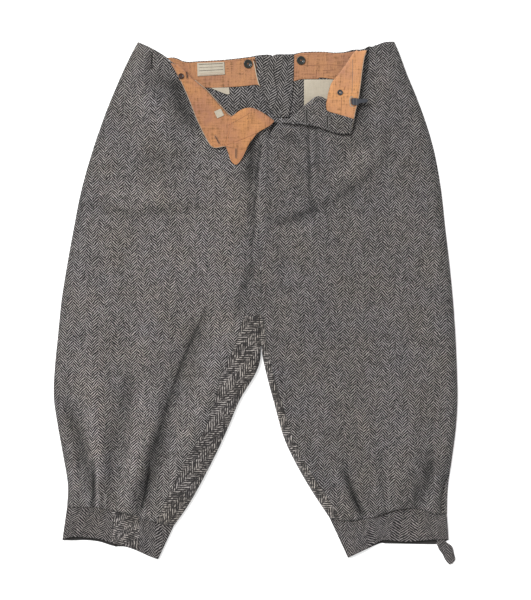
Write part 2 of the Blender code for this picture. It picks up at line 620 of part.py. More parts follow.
def height_on(tree, x, y):
    """Height of the topmost face under a point, and the face's normal."""
    start = placed((x, y, 100.0))
    hit, normal, _, _ = tree.ray_cast(start, Vector((0, 0, -1)))
    return hit.z / MM, normal


def add_button(name, x, y, low, across, paint, normal=Vector((0, 0, 1))):
    """A disc with a raised rim and a sunk middle, turned from its half section."""
    radius = 0.5 * across
    thick = 0.19 * across
    section = (
        (0.0, 0.0), (0.82 * radius, 0.0), (radius, 0.45 * thick), (0.97 * radius, 0.85 * thick),
        (0.86 * radius, thick), (0.72 * radius, 0.9 * thick), (0.58 * radius, 0.62 * thick), (0.0, 0.55 * thick),
    )
    mesh = bmesh.new()
    verts = [mesh.verts.new((r * MM, 0, z * MM)) for r, z in section]
    edges = [mesh.edges.new(pair) for pair in zip(verts, verts[1:])]
    bmesh.ops.spin(
        mesh, geom=verts + edges, cent=(0, 0, 0), axis=(0, 0, 1), angle=math.tau, steps=28, use_merge=True
    )
    bmesh.ops.remove_doubles(mesh, verts=mesh.verts, dist=1e-6)
    bmesh.ops.recalc_face_normals(mesh, faces=mesh.faces)
    obj = add_mesh(name, mesh, paint)
    obj.rotation_mode = "QUATERNION"
    obj.rotation_quaternion = Vector((0, 0, 1)).rotation_difference(normal)
    obj.location = placed((x, y, low))
    return obj


def build_fronts():
    made = {}
    for side in SIDES:
        grid = front_grid(side)
        paint = material("tweed_" + side, TWEED_COLOUR)
        made[side] = (add_sheet("front_" + side, grid, TWEED, paint, flip=side == "left"), grid)
    return made


def build_backs():
    lower = len(under_steps(2 * SIDE_ROUND, 1.0))
    stations = len(RIGHT_ROWS) - 1
    fork = round(FORK_ROW / stations * (BODY_ROWS - 1))
    tongue = round(TONGUE_ROW / stations * (BODY_ROWS - 1))
    for side in SIDES:
        grid = back_grid(side)
        if side == "right":
            grid[fork + 1 :, lower - 1, 0] -= 0.5 * SEAM_GAP
        add_sheet(
            "back_" + side,
            grid,
            TWEED,
            material("tweed_" + side, TWEED_COLOUR),
            flip=side == "right",
            left_out=lambda r, c: (c == lower - 1 and r >= fork) or (c >= lower and r >= tongue),
        )


def build_bands():
    for side in SIDES:
        add_sheet(
            "knee_band_" + side,
            band_grid(side),
            TWEED,
            material("tweed_" + side, TWEED_COLOUR),
            flip=side == "right",
            ring=True,
        )


def build_flap_pieces(fronts):
    """Facings, the fly's bearer on the right, and its buttonhole strip on the left."""
    made = {}
    names = {"right": "fly_bearer", "left": "fly_strip"}
    for side, (_, grid) in fronts.items():
        count = len(SIDES[side]["flap"]) - 1
        shares = flap_shares(side)
        border = min(range(len(shares)), key=lambda k: abs(shares[k] - FLAP_BORDER[side] / count))
        first = next(k for k, share in enumerate(shares) if turn_line(side, share)[2] > 0.75)
        facing = flap_cover(side, grid, first, border, COTTON, "front_facing_" + side, material("cotton_tan", TAN))
        thick, paint = COTTON, material("cotton_tan", TAN)
        if side == "left":
            thick, paint = TWEED, material("tweed_left", TWEED_COLOUR)
        flap_cover(side, grid, border, grid.shape[1] - 1, thick, names[side], paint)
        made[side] = facing
    return made


def flap_shares(side):
    outer, edge = front_outer(side, 1.0), row_at(side, 1.0)[1]
    width = np.linalg.norm(edge - outer)
    steps = side_steps(SIDE_ROUND, width, BODY_COLUMNS)
    return [steps[max(k - 1, 0)] / width for k in range(BODY_COLUMNS + 1)]


def build_waist_pieces():
    """Everything that lies flat on the inside of the back."""
    on_back = TWEED + SEAM_GAP
    on_facing = on_back + COTTON + SEAM_GAP
    tan, ivory, cream = material("cotton_tan", TAN), material("cotton_ivory", IVORY), material("label", CREAM)
    add_plate("back_facing_right", BACK_FACING_RIGHT, on_back, COTTON, tan)
    add_plate("back_facing_left", BACK_FACING_LEFT, on_back, COTTON, tan)
    add_plate("seam_turning_right", SEAM_TURNING_RIGHT, on_back, TWEED, material("tweed_right", TWEED_COLOUR))
    add_plate("seam_turning_left", SEAM_TURNING_LEFT, on_back, TWEED, material("tweed_left", TWEED_COLOUR))
    add_plate("pocket_bag_right", POCKET_RIGHT, on_back, COTTON, ivory)
    add_plate("pocket_bag_left", POCKET_LEFT, on_back, COTTON, ivory)
    add_plate("label", LABEL, on_facing, COTTON, cream)
    horn = material("horn_dark", HORN, 0.25)
    for side, (x, y, across) in BRACE_BUTTONS.items():
        add_button("brace_button_" + side, x, y, on_facing, across, horn)


def build_tongues():
    add_tongue("bearer_tongue", BEARER_TONGUE, TWEED, material("cotton_tan", TAN))
    add_tongue("strap_end", STRAP_END, TWEED, material("tweed_left", TWEED_COLOUR))
    add_plate("underlap", UNDERLAP, TWEED + 0.25, COTTON, material("tweed_left", TWEED_COLOUR))


def add_tongue(name, table, thickness, paint):
    rows = []
    for share in np.linspace(0.0, 1.0, TONGUE_ROWS):
        x0, y0, x1, y1, z = spline(table, share)
        arch = [z + 0.5 * math.sin(math.pi * t) for t in ACROSS_TONGUE]
        rows.append([(x0 + (x1 - x0) * t, y0 + (y1 - y0) * t, high) for t, high in zip(ACROSS_TONGUE, arch)])
    return add_sheet(name, np.array(rows), thickness, paint, flip=True)


def add_patch(name, size, tree, paint):
    """A small piece that follows the surface below it."""
    x0, y0, width, length, turn, thickness, arch = size
    cos, sin = math.cos(math.radians(turn)), math.sin(math.radians(turn))
    rows = []
    for t in np.linspace(-0.5, 0.5, 6):
        row = []
        for s in np.linspace(-0.5, 0.5, 4):
            x = x0 + width * s * cos - length * t * sin
            y = y0 + width * s * sin + length * t * cos
            z = height_on(tree, x, y)[0] + PATCH_LIFT + thickness + arch * (1 - 4 * t * t)
            row.append((x, y, z))
        rows.append(row)
    return add_sheet(name, np.array(rows), thickness, paint)


def add_tilted_button(name, size, tree, paint):
    """A button that lies on the slope of the cloth below it."""
    x, y, across = size
    z, normal = height_on(tree, x, y)
    return add_button(name, x, y, z + BUTTON_LIFT, across, paint, normal)


def build_small_pieces(fronts, facings):
    right, left, front = surface(facings["right"]), surface(facings["left"]), surface(fronts["right"][0])
    steel = material("steel", STEEL, 0.35, 0.9)
    add_tilted_button("small_button", SMALL_BUTTON, right, material("horn_brown", BROWN, 0.35))
    add_tilted_button("bearer_button", BEARER_BUTTON, left, steel)
    add_patch("trouser_hook", TROUSER_HOOK, left, steel)
    add_patch("laundry_tab", LAUNDRY_TAB, right, material("label", CREAM))
    add_patch("belt_loop", BELT_LOOP, front, material("tweed_right", TWEED_COLOUR))


clear_scene()
TROUSERS = bpy.data.collections.new("trousers")
bpy.context.scene.collection.children.link(TROUSERS)
fronts = build_fronts()
build_backs()
build_bands()
facings = build_flap_pieces(fronts)
build_waist_pieces()
build_tongues()
build_small_pieces(fronts, facings)
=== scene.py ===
import math

import bpy
import numpy as np
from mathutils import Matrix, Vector
from mathutils.bvhtree import BVHTree


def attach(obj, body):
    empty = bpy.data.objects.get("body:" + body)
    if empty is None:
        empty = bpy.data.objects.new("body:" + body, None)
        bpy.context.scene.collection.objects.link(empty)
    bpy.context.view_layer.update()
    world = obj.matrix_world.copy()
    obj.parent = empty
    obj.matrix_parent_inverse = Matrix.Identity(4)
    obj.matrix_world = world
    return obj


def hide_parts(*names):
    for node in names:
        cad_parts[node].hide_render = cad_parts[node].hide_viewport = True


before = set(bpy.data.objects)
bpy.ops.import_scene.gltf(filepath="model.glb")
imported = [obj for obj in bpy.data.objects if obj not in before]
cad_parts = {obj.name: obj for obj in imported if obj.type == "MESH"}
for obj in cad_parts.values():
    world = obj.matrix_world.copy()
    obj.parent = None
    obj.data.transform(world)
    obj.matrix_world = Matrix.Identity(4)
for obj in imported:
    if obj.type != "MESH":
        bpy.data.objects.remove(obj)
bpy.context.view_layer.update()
print("frame loaded:", len(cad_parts), "nodes")

# tables are in mm: x to the right of the picture, y towards the waist, z up from the floor
mm = 0.001
centreY = -1.5
cloth = {"tweed": 2.0, "cotton": 1.0, "seamGap": 0.3, "bandGap": 0.35, "facingGap": 0.5}
edge = {
    "low": 3.2, "high": 3.5, "upright": 1.0, "backRound": 4.0, "sideRound": 20.0,
    "lowestTop": 6.4, "topEase": 0.8, "lastStep": 1.5,
}

# one row a station, knee band to waist: outer x y, front edge x y, inner x y, back edge x y, height, drop
# seam and hem run from the outer side to the inner one; hem holds y of the front half and of the back half
# flap: fold x y, waist edge x y, height, how far turned out
legs = {
    "right": {
        "sign": 1.0,
        "seamShare": 8 / 9,
        "innerRound": 16.0,
        "rows": (
            (-302, -326.5, -158.5, -351.8, -131.5, -359, -131.5, -359, 9, 0),
            (-301, -290.5, -138.5, -305, -104, -319, -104, -319, 11, 0),
            (-309.5, -239, -111, -252, -69.5, -255, -69.5, -255, 12, 0),
            (-317.5, -194.5, -81.5, -204, -45.5, -204, -45.5, -204, 12, 0),
            (-323.5, -149.5, -65.5, -158, -25, -156, -25, -156, 12, 0),
            (-321.5, -101.5, -53, -112, 1, -112, 1, -112, 12, 0),
            (-317, -56, -33, -70, 8.6, -81, 8.6, -81, 12, 0),
            (-314, -24, -21, -32, 5.5, -38, 5.5, -38, 11.5, 0.8),
            (-310.5, 8, -10.5, 4, 5, 4, 5, 4, 11, 0.8),
            (-302.5, 58, -1, 55, 4.5, 55, 8, 55, 11, 0.8),
            (-292, 116, 4, 108, 4.5, 108, 15, 108, 10.5, 3.2),
            (-280, 177, 13, 156, 13, 156, 22, 156, 10.5, 3.6),
            (-263, 238, 15, 196, 15, 196, 29, 200, 10, 3.4),
            (-242.5, 298, 17, 231, 17, 231, 37, 248, 9.5, 3),
            (-224, 344, 19, 256, 19, 256, 41, 296, 9, 2.6),
            (-208.5, 379, 24, 273, 24, 273, 35, 346, 8.5, 2),
            (-197, 402, 27, 284, 27, 284, 27.2, 396, 8, 1.5),
        ),
        "seam": (
            (-302, -326.5), (-274.5, -328), (-254.5, -327.5), (-237.5, -331), (-217.5, -335),
            (-200, -339.5), (-186, -343.5), (-171.5, -348.5), (-158.5, -351.8), (-131.5, -359),
        ),
        "hem": (
            (-309.5, -379, -381), (-293, -375.5, -381.5), (-271.5, -376.5, -381),
            (-250.5, -378.5, -383.5), (-231.5, -384.5, -389.5), (-221.5, -387, -391),
            (-207.5, -390, -392), (-186, -399, -399.5), (-171.5, -405.5, -405.5),
            (-156, -411.5, -411.5),
        ),
        "flap": (
            (-197, 402, -188.5, 417.5, 3.5, 0),
            (-176, 394, -168, 408, 9, 0),
            (-156, 385, -146, 395, 10, 0.1),
            (-128, 379, -137.5, 384.5, 12.5, 0.8),
            (-109.5, 366, -126, 366, 14, 1),
            (-96, 353, -118.5, 350, 14.5, 1),
            (-79, 339, -109.5, 330.5, 14.5, 1),
            (-66, 325, -102, 311.5, 14, 1),
            (-54, 312, -93, 289, 13.5, 1),
            (-45, 302, -76.5, 256.5, 13, 1),
            (-41, 299.5, -66.5, 246.5, 12.7, 1),
            (-37, 297.5, -49, 248.5, 12.5, 1),
            (-20, 309, -38, 246.5, 12, 1),
            (-6, 311.5, -31, 246, 12, 1),
            (10, 305, -23, 246, 12, 1),
            (31, 290.5, -15, 246, 12, 1),
        ),
        "fly": ((31, 290.5), (24.5, 285), (7, 274.5), (-5, 260.5), (-15, 246)),
        "border": 11 / 15,
        "backTop": (
            (-188.5, 416), (-166, 404), (-146, 393.2), (-129.5, 393), (-112, 386.5),
            (-86.5, 387.5), (-50.5, 389.5), (-10.5, 394), (2.5, 396.5), (20, 397.8), (27.2, 396),
        ),
    },
    "left": {
        "sign": -1.0,
        "seamShare": 9 / 10,
        "innerRound": 9.0,
        "rows": (
            (307, -341.5, 137, -348.5, 118.5, -345, 118.5, -345, 9, 0),
            (308.5, -297, 111, -305, 92, -305, 92, -305, 11, 0),
            (315, -250, 82.5, -261.5, 66.5, -261.5, 66.5, -261.5, 12, 0),
            (321, -204, 60, -217, 45.5, -217, 45.5, -217, 12, 0),
            (324, -156, 43.5, -164, 30.5, -164, 30.5, -164, 12, 0),
            (323, -106, 30, -119, 18.5, -119, 18.5, -119, 12, 0),
            (321, -60, 20, -76, 10.4, -81.5, 10.4, -81.5, 12, 0),
            (319, -28, 14, -36, 6.3, -38, 6.3, -38, 11.5, 0.8),
            (316.5, 6, 10.5, 4, 5.6, 4, 5.6, 4, 11, 0.8),
            (311, 62, 8, 55, 5, 55, 8.6, 55, 11, 0.8),
            (304, 122, 5.3, 108, 4.8, 108, 15.6, 108, 11, 0.5),
            (297, 184, 4.2, 156, 4.2, 156, 22.6, 156, 11, 0.5),
            (285, 248, 3.8, 196, 3.8, 196, 29.6, 200, 11, 0.5),
            (267, 306, 5, 228, 5, 228, 37.6, 248, 10.8, 0.5),
            (249, 349, 9.8, 255, 9.8, 255, 41.6, 296, 10.5, 0.4),
            (237, 382, 21, 279, 21, 279, 35.6, 346, 10.3, 0.3),
            (229.5, 402, 42, 284.5, 42, 284.5, 27.8, 396, 10, 0.2),
        ),
        "seam": (
            (307, -341.5), (283.5, -338), (269, -332), (252, -329.5), (226.5, -332),
            (205, -338.5), (188, -344), (169, -347), (155, -349), (137, -348.5),
            (118.5, -345),
        ),
        "hem": (
            (309.5, -379, -381), (293.5, -379.5, -387), (269.5, -381, -387.5),
            (241, -383, -387), (210.5, -380.5, -386.5), (199, -382.5, -386.5),
            (175, -396, -397), (162.5, -402, -402), (148, -409, -409),
        ),
        "flap": (
            (229.5, 402, 222.5, 418, 3.5, 0),
            (209, 403, 206, 416.5, 10, 0),
            (192, 397, 190, 410, 12, 0.1),
            (166, 401, 180.5, 406.5, 15, 0.7),
            (155, 396, 175, 393, 18, 1),
            (145, 382, 171, 370, 19, 1),
            (133, 366, 168, 345, 18, 1),
            (122, 352, 165, 324, 17, 1),
            (116.5, 336, 161, 308, 15.5, 1),
            (112.5, 322, 158, 293, 14.5, 1),
            (98, 327.5, 157, 288, 14.5, 1),
            (86, 320, 156, 283, 14.5, 1),
            (72, 307.5, 155.5, 279, 14.5, 1),
            (56, 292.5, 154.8, 274.5, 14.5, 1),
            (37.5, 288, 154, 270, 14.5, 1),
        ),
        "fly": (
            (37.5, 288), (55, 286.5), (81, 284.5), (98, 280.5), (115, 274.5), (132.5, 270),
            (154, 270),
        ),
        "border": 9 / 14,
        "backTop": (
            (222.5, 416.5), (201.5, 414.5), (188, 408.5), (170, 406), (156, 405.5),
            (143, 402), (125.5, 401), (108, 402.5), (78, 402), (58, 398.5), (34, 398.2),
            (27.8, 396),
        ),
    },
}
forkRow = 6
tongueRow = 10
lastRow = 16
placket = {"rows": 1.5, "depth": 9.5, "start": 0.041}

# soft folds of the fronts: start x y, end x y, bow to the left, half width, height (minus: a trough)
softFolds = (
    (-81, -28, -129, -148, -8, 26, -4),
    (-120, -120, -178, -322, 14, 17, -5),
    (-41, -12, -105, -196, 10, 24, 2.5),
    (-100, -170, -142, -318, 6, 20, 4),
    (-193, -124, -231, -318, -10, 18, -4.5),
    (-150, -170, -208, -322, 0, 17, 6),
    (-258, -100, -238, -316, -10, 18, 6),
    (-305, -150, -259, -322, 8, 15, -4),
    (-256, 156, -130, 182, 8, 20, -2.5),
    (-262, 130, -150, 152, 8, 22, 3),
    (-152, 140, -64, 122, -6, 16, -2),
    (-264, 66, -200, 58, -4, 18, -2),
    (-155, 372, -112, 286, 0, 22, -2.6),
    (-190, 380, -168, 250, 6, 20, 4),
    (-60, 230, -20, 120, 8, 24, 3),
    (71, -196, 170, -326, -8, 15, -5),
    (103, -150, 167, -300, 0, 20, 7),
    (60, -190, 130, -322, -6, 16, 4),
    (287, -230, 256, -326, 6, 15, -4),
    (250, -150, 220, -322, 8, 22, 5),
    (95, 156, 39, 118, 4, 16, -2.5),
    (111, 188, 205, 256, 6, 17, -3),
    (140, 180, 235, 225, 0, 22, 3),
    (184, 372, 186, 252, 0, 12, -3),
    (212, 380, 222, 250, -6, 20, 4),
    (78, 282, 92, 150, 3, 5, -2.5),
    (98, 280, 106, 120, -2, 5, -2.5),
    (88, 278, 98, 160, 0, 7, 2.5),
    (140, 60, 60, -30, 8, 26, 3),
)
# narrower creases over the soft folds, in the same columns
sharpCreases = (
    (-256.8, -268, -255.8, -332, 0, 3, -3.4),
    (-249.5, -262, -250, -332, 0, 4.6, 4.2),
    (-262, -150, -256, -262, 4, 12, 2.2),
    (-142, -150, -168, -250, 6, 13, -4),
    (-166, -234, -189, -345, 5, 5.5, -8.5),
    (-136, -120, -165, -236, 5, 9, -4.5),
    (-152, -226, -172, -342, 5, 9, 5),
    (-196, -210, -205, -330, 4, 9, 3.4),
    (-213, -232, -224, -334, 2, 6, -3.4),
    (-234, -220, -240, -330, 0, 7, 2.4),
    (-280, -238, -272, -330, -3, 6, -3.2),
    (-292, -232, -290, -326, -3, 6, 2.4),
    (-116, -226, -142, -350, 3, 8, 2.6),
    (-86, -110, -118, -236, 4, 9, -2.2),
    (-60, -60, -96, -190, 6, 12, 2.6),
    (-62, 22, -90, -66, 4, 10, 1.8),
    (-96, 168, -34, 150, -3, 8, -1.6),
    (-110, 140, -40, 120, -3, 9, 1.6),
    (-236, 206, -150, 220, 3, 10, 1.6),
    (-230, 178, -140, 196, 3, 9, -1.6),
    (-128, 362, -84, 268, -5, 14, -7),
    (-170, 340, -128, 262, -5, 15, 5),
    (-180, 382, -166, 280, -4, 17, 5),
    (-128, 300, -92, 236, -4, 12, -3),
    (0, 240, -3, 96, 1, 8, -3.4),
    (146, -250, 174, -338, -4, 7, -6.5),
    (128, -252, 158, -345, -3, 9, 4.6),
    (100, -200, 128, -300, -4, 10, 3),
    (118, -196, 146, -262, -4, 9, -3.2),
    (190, -236, 198, -336, 0, 8, 3.2),
    (206, -256, 210, -332, 0, 6, -3.4),
    (228, -240, 226, -330, 0, 7, 3),
    (284, -246, 270, -332, 0, 7, -5),
    (250, -262, 246, -330, 0, 6, -2.4),
    (292, -232, 289, -336, 0, 6, 3.4),
    (80, 276, 90, 120, 2, 6, 2.2),
    (90, 276, 98, 110, 1, 5.5, -2.4),
    (103, 272, 108, 120, -1, 6.5, 2.2),
    (181, 380, 187, 262, 0, 6.5, -3.4),
    (196, 380, 204, 250, 0, 12, 3.2),
    (112, 206, 176, 252, 3, 9, -2.6),
    (96, 190, 150, 222, 3, 9, 2.2),
    (44, 98, 92, 138, 2, 8, -1.8),
    (40, 118, 96, 162, 2, 9, 1.6),
    (24, 190, 66, 214, 2, 9, 1.6),
    (13, 276, 14, 96, 0, 7, 4.5),
    (210, -60, 226, -190, 0, 26, 3),
    (-236, 40, -262, -120, 0, 28, 3),
    (-150, 60, -160, -110, 0, 26, 2.4),
)
# darker or lighter along such strokes, as a share: painted shade in the troughs, painted shadow beside and
# under the flaps, painted highlight on the ridges
shadeAndHighlightStrokes = (
    (-80.8, -15.2, -138, -160, -4, 9, -0.42),
    (-136, -152, -164, -238, 0, 8, -0.38),
    (-160, -226, -186, -336, 3, 7, -0.42),
    (-80.8, -15.2, -140, -160, -4, 2.6, -0.36),
    (-140, -160, -164, -238, 0, 3, -0.14),
    (-170, -262, -186.4, -340, 2, 2.4, -0.50),
    (-144, -196, -168, -308, 0, 9, -0.36),
    (-84, -50, -118, -156, 0, 9, -0.24),
    (-302, -160, -258, -305, 3, 12, -0.48),
    (-205.6, -112, -242.4, -304, 0, 8, -0.26),
    (-200, -124, -211, -250, 0, 8, -0.30),
    (-253, -110, -249, -280, 0, 12, 0.44),
    (-176, -132, -206, -316, 0, 8, 0.22),
    (-257.6, -256, -260.8, -328, 0, 3.4, -0.50),
    (-251.8, -258, -252.8, -328, 0, 1.8, 0.40),
    (-294, -262, -284, -296, 0, 9, 0.22),
    (-50, -30, -108, -210, 6, 10, 0.10),
    (-30, -20, -8, 60, 0, 9, -0.36),
    (-3, 268, -12, 190, 0, 9, -0.62),
    (9.1, 258, 2.1, 206, 0, 2.6, -0.62),
    (2.1, 208, -7.2, 54, 0, 2.4, -0.46),
    (-3, 200, -14, 20, 0, 8, -0.10),
    (16, 244, 6, 60, 0, 6, 0.14),
    (-134.4, 352.6, -100, 282.4, -2, 15, -0.60),
    (-167.6, 330, -146.8, 280, 0, 14, 0.30),
    (-160.8, 357, -117.6, 349.6, 0, 9, -0.34),
    (84, 276, 86.4, 162, 0, 2.6, -0.62),
    (98.4, 274, 100, 200, 0, 5, -0.42),
    (91, 270, 92.6, 176, 0, 3.4, 0.22),
    (44, 264, 70, 258, 0, 6, -0.4),
    (29.6, 129.6, 96, 150, -3, 8, -0.46),
    (96, 150, 199.2, 223.2, -6, 8, -0.40),
    (24, 112, 104, 132, -3, 9, 0.14),
    (111.2, 190, 183.2, 250, -4, 9, 0.18),
    (168, 330, 166, 280, 0, 8, -0.34),
    (206, 290, 206, 236, 0, 5, -0.26),
    (285.6, -244, 264.8, -322, 0, 9, -0.55),
    (142, -272, 170, -338, 0, 6, -0.62),
    (154, -306, 172, -342, 0, 2.4, -0.40),
    (257.6, -288, 252.8, -330, 0, 5.5, -0.50),
    (118, -196, 146, -276, 0, 10, -0.16),
    (242, -262, 242.4, -316, 0, 6, 0.16),
    (273, -298, 271, -328, 0, 4.5, 0.30),
    (300, -270, 306, -322, 0, 6, -0.34),
    (-272.8, 156, -184, 140, 0, 8, -0.24),
    (-184, 143, -80.8, 159, 0, 8, -0.24),
    (-268, 176, -150, 172, 4, 10, 0.12),
    (-200.8, 220, -104.8, 240.8, 3, 8, -0.20),
    (-184, 228, -104, 220, 0, 20, -0.13),
)
frontDrape = {
    "bodyRows": 190, "columns": 104, "rollSteps": 8, "flapSteps": 20, "foldRadius": 2.0, "waver": 0.7,
    "puff": 2.0, "puffBelow": 180.0, "puffEase": 160.0, "legFolds": 1.35, "edgeShade": 0.3, "shadeWidth": 9.0,
}
# uneven waves of the fronts: seed, wave length, share
unevenness = ((5, 70.0, 1.0), (6, 26.0, 0.4))
gatherDrape = {
    "step": 10.0, "height": 2.0, "reach": 58.0, "lean": 26.0, "halfWidth": 3.2,
    "seamDip": 1.4, "dipWidth": 4.0, "seed": {"right": 31, "left": 47},
}


# a smooth curve through the rows of a table, at shares from 0 to 1
def along(table, shares):
    rows = np.asarray(table, float)
    place = np.clip(np.asarray(shares, float), 0.0, 1.0) * (len(rows) - 1)
    low = np.minimum(place.astype(int), len(rows) - 2)
    t = (place - low)[..., None]
    ends = np.vstack([2 * rows[0] - rows[1], rows, 2 * rows[-1] - rows[-2]])
    before, start, end, after = (ends[low + k] for k in range(4))
    bend = 2 * before - 5 * start + 4 * end - after + t * (3 * (start - end) + after - before)
    return start + 0.5 * t * (end - before + t * bend)


def rounded(distance, radius):
    share = np.clip(distance / radius, 0.0, 1.0)
    return np.sqrt(1.0 - (1.0 - share) ** 2)


# soft uneven waves, about as high as 1, from a fixed seed
def waver(x, y, seed, length, count=22):
    dice = np.random.default_rng(seed)
    total = np.zeros(np.shape(x))
    for angle, phase, stretch in dice.random((count, 3)):
        k = math.tau / (length * (0.6 + 0.9 * stretch))
        way = x * math.cos(math.tau * angle) + y * math.sin(math.tau * angle)
        total += np.sin(k * way + math.tau * phase)
    return total / math.sqrt(count / 2)


def foldHeight(x, y, table):
    total = np.zeros(np.shape(x))
    for x0, y0, x1, y1, bow, width, height in table:
        length = math.hypot(x1 - x0, y1 - y0)
        share = ((x - x0) * (x1 - x0) + (y - y0) * (y1 - y0)) / length**2
        across = ((y - y0) * (x1 - x0) - (x - x0) * (y1 - y0)) / length
        across = across - bow * 4.0 * share * (1.0 - share)
        end = np.clip(np.minimum(share + 0.25, 1.25 - share) / 0.5, 0.0, 1.0)
        total += height * np.sin(0.5 * math.pi * end) ** 2 * np.exp(-((across / width) ** 2))
    return total


# gathers run up from the knee band seam and die out
def gatherHeight(side, x, y):
    dice = np.random.default_rng(gatherDrape["seed"][side])
    seam = along(legs[side]["seam"], np.linspace(0, 1, 200))
    width = np.linalg.norm(seam[-1] - seam[0])
    total = np.zeros(np.shape(x))
    for share in np.arange(0.5, width / gatherDrape["step"]) * gatherDrape["step"] / width:
        share = share + (dice.random() - 0.5) * 0.5 * gatherDrape["step"] / width
        foot = along(legs[side]["seam"], share)
        lean = (share - 0.45) * gatherDrape["lean"] * -legs[side]["sign"]
        reach = gatherDrape["reach"] * (0.5 + dice.random())
        up = np.array((lean, reach)) / math.hypot(lean, reach)
        rise = ((x - foot[0]) * up[0] + (y - foot[1]) * up[1]) / reach
        across = (x - foot[0]) * up[1] - (y - foot[1]) * up[0]
        fade = np.clip(1.0 - rise, 0.0, 1.0) ** 1.6 * (rise > -0.4)
        halfWidth = gatherDrape["halfWidth"] * (0.7 + 0.6 * dice.random())
        total += gatherDrape["height"] * (0.5 + dice.random()) * fade * np.exp(-((across / halfWidth) ** 2))
    return total


def stations(side, v):
    row = along(legs[side]["rows"], v)
    wrap = np.clip(forkRow + 1 - v * lastRow, 0.0, 1.0)
    return row[..., 0:2], row[..., 2:4], row[..., 4:6], row[..., 6:8], row[..., 8], row[..., 9], wrap


# height of the outer face of what lies on top: a front, or the back's strip along the inner leg
def topHeight(side, v, x, y, fromOuter, fromInner):
    _, _, _, _, height, drop, wrap = stations(side, v)
    base = edge["high"] + edge["upright"]
    low = np.clip((frontDrape["puffBelow"] - y) / frontDrape["puffEase"], 0.0, 1.0)
    low = low * low * (3 - 2 * low)
    folds = foldHeight(x, y, softFolds) * (1 + (frontDrape["legFolds"] - 1) * low) + frontDrape["puff"] * low
    folds = folds + foldHeight(x, y, sharpCreases) + gatherHeight(side, x, y)
    waves = sum(share * waver(x, y, seed, length) for seed, length, share in unevenness)
    folds = folds + frontDrape["waver"] * waves
    rise = height - base + folds
    least = edge["lowestTop"] - base
    rise = least + np.logaddexp(0.0, (rise - least) / edge["topEase"]) * edge["topEase"]
    seamLine = along(legs[side]["seam"], np.linspace(0, 1, 120))
    order = np.argsort(seamLine[:, 0])
    above = y - np.interp(x, seamLine[order, 0], seamLine[order, 1])
    rise = rise - gatherDrape["seamDip"] * np.exp(-((above / gatherDrape["dipWidth"]) ** 2))
    closing = rounded(fromInner, legs[side]["innerRound"])
    dip = 1.0 - (1.0 - closing) * wrap
    lower = drop * np.exp(-((fromInner / 28.0) ** 2))
    return base + rise * rounded(fromOuter, edge["sideRound"]) * dip - lower


# where a front starts to turn out, the direction of the turn and the share turned
def turnLine(side, u):
    row = along(legs[side]["flap"], u)
    fold, waist = row[..., 0:2], row[..., 2:4]
    turned = np.clip(row[..., 5], 0.0, 1.0)[..., None]
    outward = (fold - waist) / np.maximum(np.linalg.norm(fold - waist, axis=-1, keepdims=True), 1e-6)
    depth = frontDrape["foldRadius"] + cloth["tweed"] + cloth["facingGap"] + cloth["cotton"]
    return fold - depth * turned * outward, outward, turned, waist, row[..., 4]


def frontOuter(side, v):
    outer = stations(side, v)[0].copy()
    share = v * lastRow / placket["rows"]
    if side == "left":
        outer[..., 0] -= placket["depth"] * np.clip(1 - share**3, 0.0, 1.0)
    return outer


# a patch between four edge curves
def patch(left, right, bottom, top, u, v):
    u, v = u[..., None], v[..., None]
    corners = (1 - v) * ((1 - u) * left[0] + u * right[0]) + v * ((1 - u) * left[-1] + u * right[-1])
    return (1 - u) * left[:, None] + u * right[:, None] + (1 - v) * bottom + v * top - corners


def stepsAcross(width, radius, count):
    near = radius * (1 - np.cos(np.radians(np.arange(9, 88, 9.0))))
    rest = radius + (width[:, None] - edge["lastStep"] - radius) * np.linspace(0, 1, count)
    zero = np.zeros((len(width), 2))
    near = np.broadcast_to(near, (len(width), len(near)))
    return np.hstack([zero, near, rest, width[:, None]])


def frontGrid(side):
    spec = legs[side]
    v = np.linspace(0, 1, frontDrape["bodyRows"])
    outer, (_, inside, inner) = frontOuter(side, v), stations(side, v)[:3]
    width = np.linalg.norm(inside - outer, axis=1)
    distance = stepsAcross(width, edge["sideRound"], frontDrape["columns"])
    u = distance / width[:, None]
    grown = (v**8)[:, None]
    left = outer * (1 - grown) + turnLine(side, np.zeros(1))[0] * grown
    right = inside * (1 - grown) + turnLine(side, np.ones(1))[0] * grown
    start = placket["start"] if side == "left" else 0.0
    bottom = along(spec["seam"], start + u * (spec["seamShare"] - start))
    vGrid = np.broadcast_to(v[:, None], u.shape)
    plan = patch(left, right, bottom, turnLine(side, u)[0], u, vGrid)
    beyond = np.linalg.norm(inner - inside, axis=1)[:, None]
    flat = np.where(distance < width[:, None] - edge["lastStep"] - 0.1, distance, width[:, None])
    z = topHeight(side, vGrid, plan[..., 0], plan[..., 1], flat, width[:, None] - flat + beyond)
    z[:, 0] = edge["high"]
    plan[:, -1] += (outer - inside) / width[:, None] * 0.5 * cloth["seamGap"]
    body = np.dstack([plan, z])
    return np.concatenate([body, flapRows(side, u[-1], body[-1])])


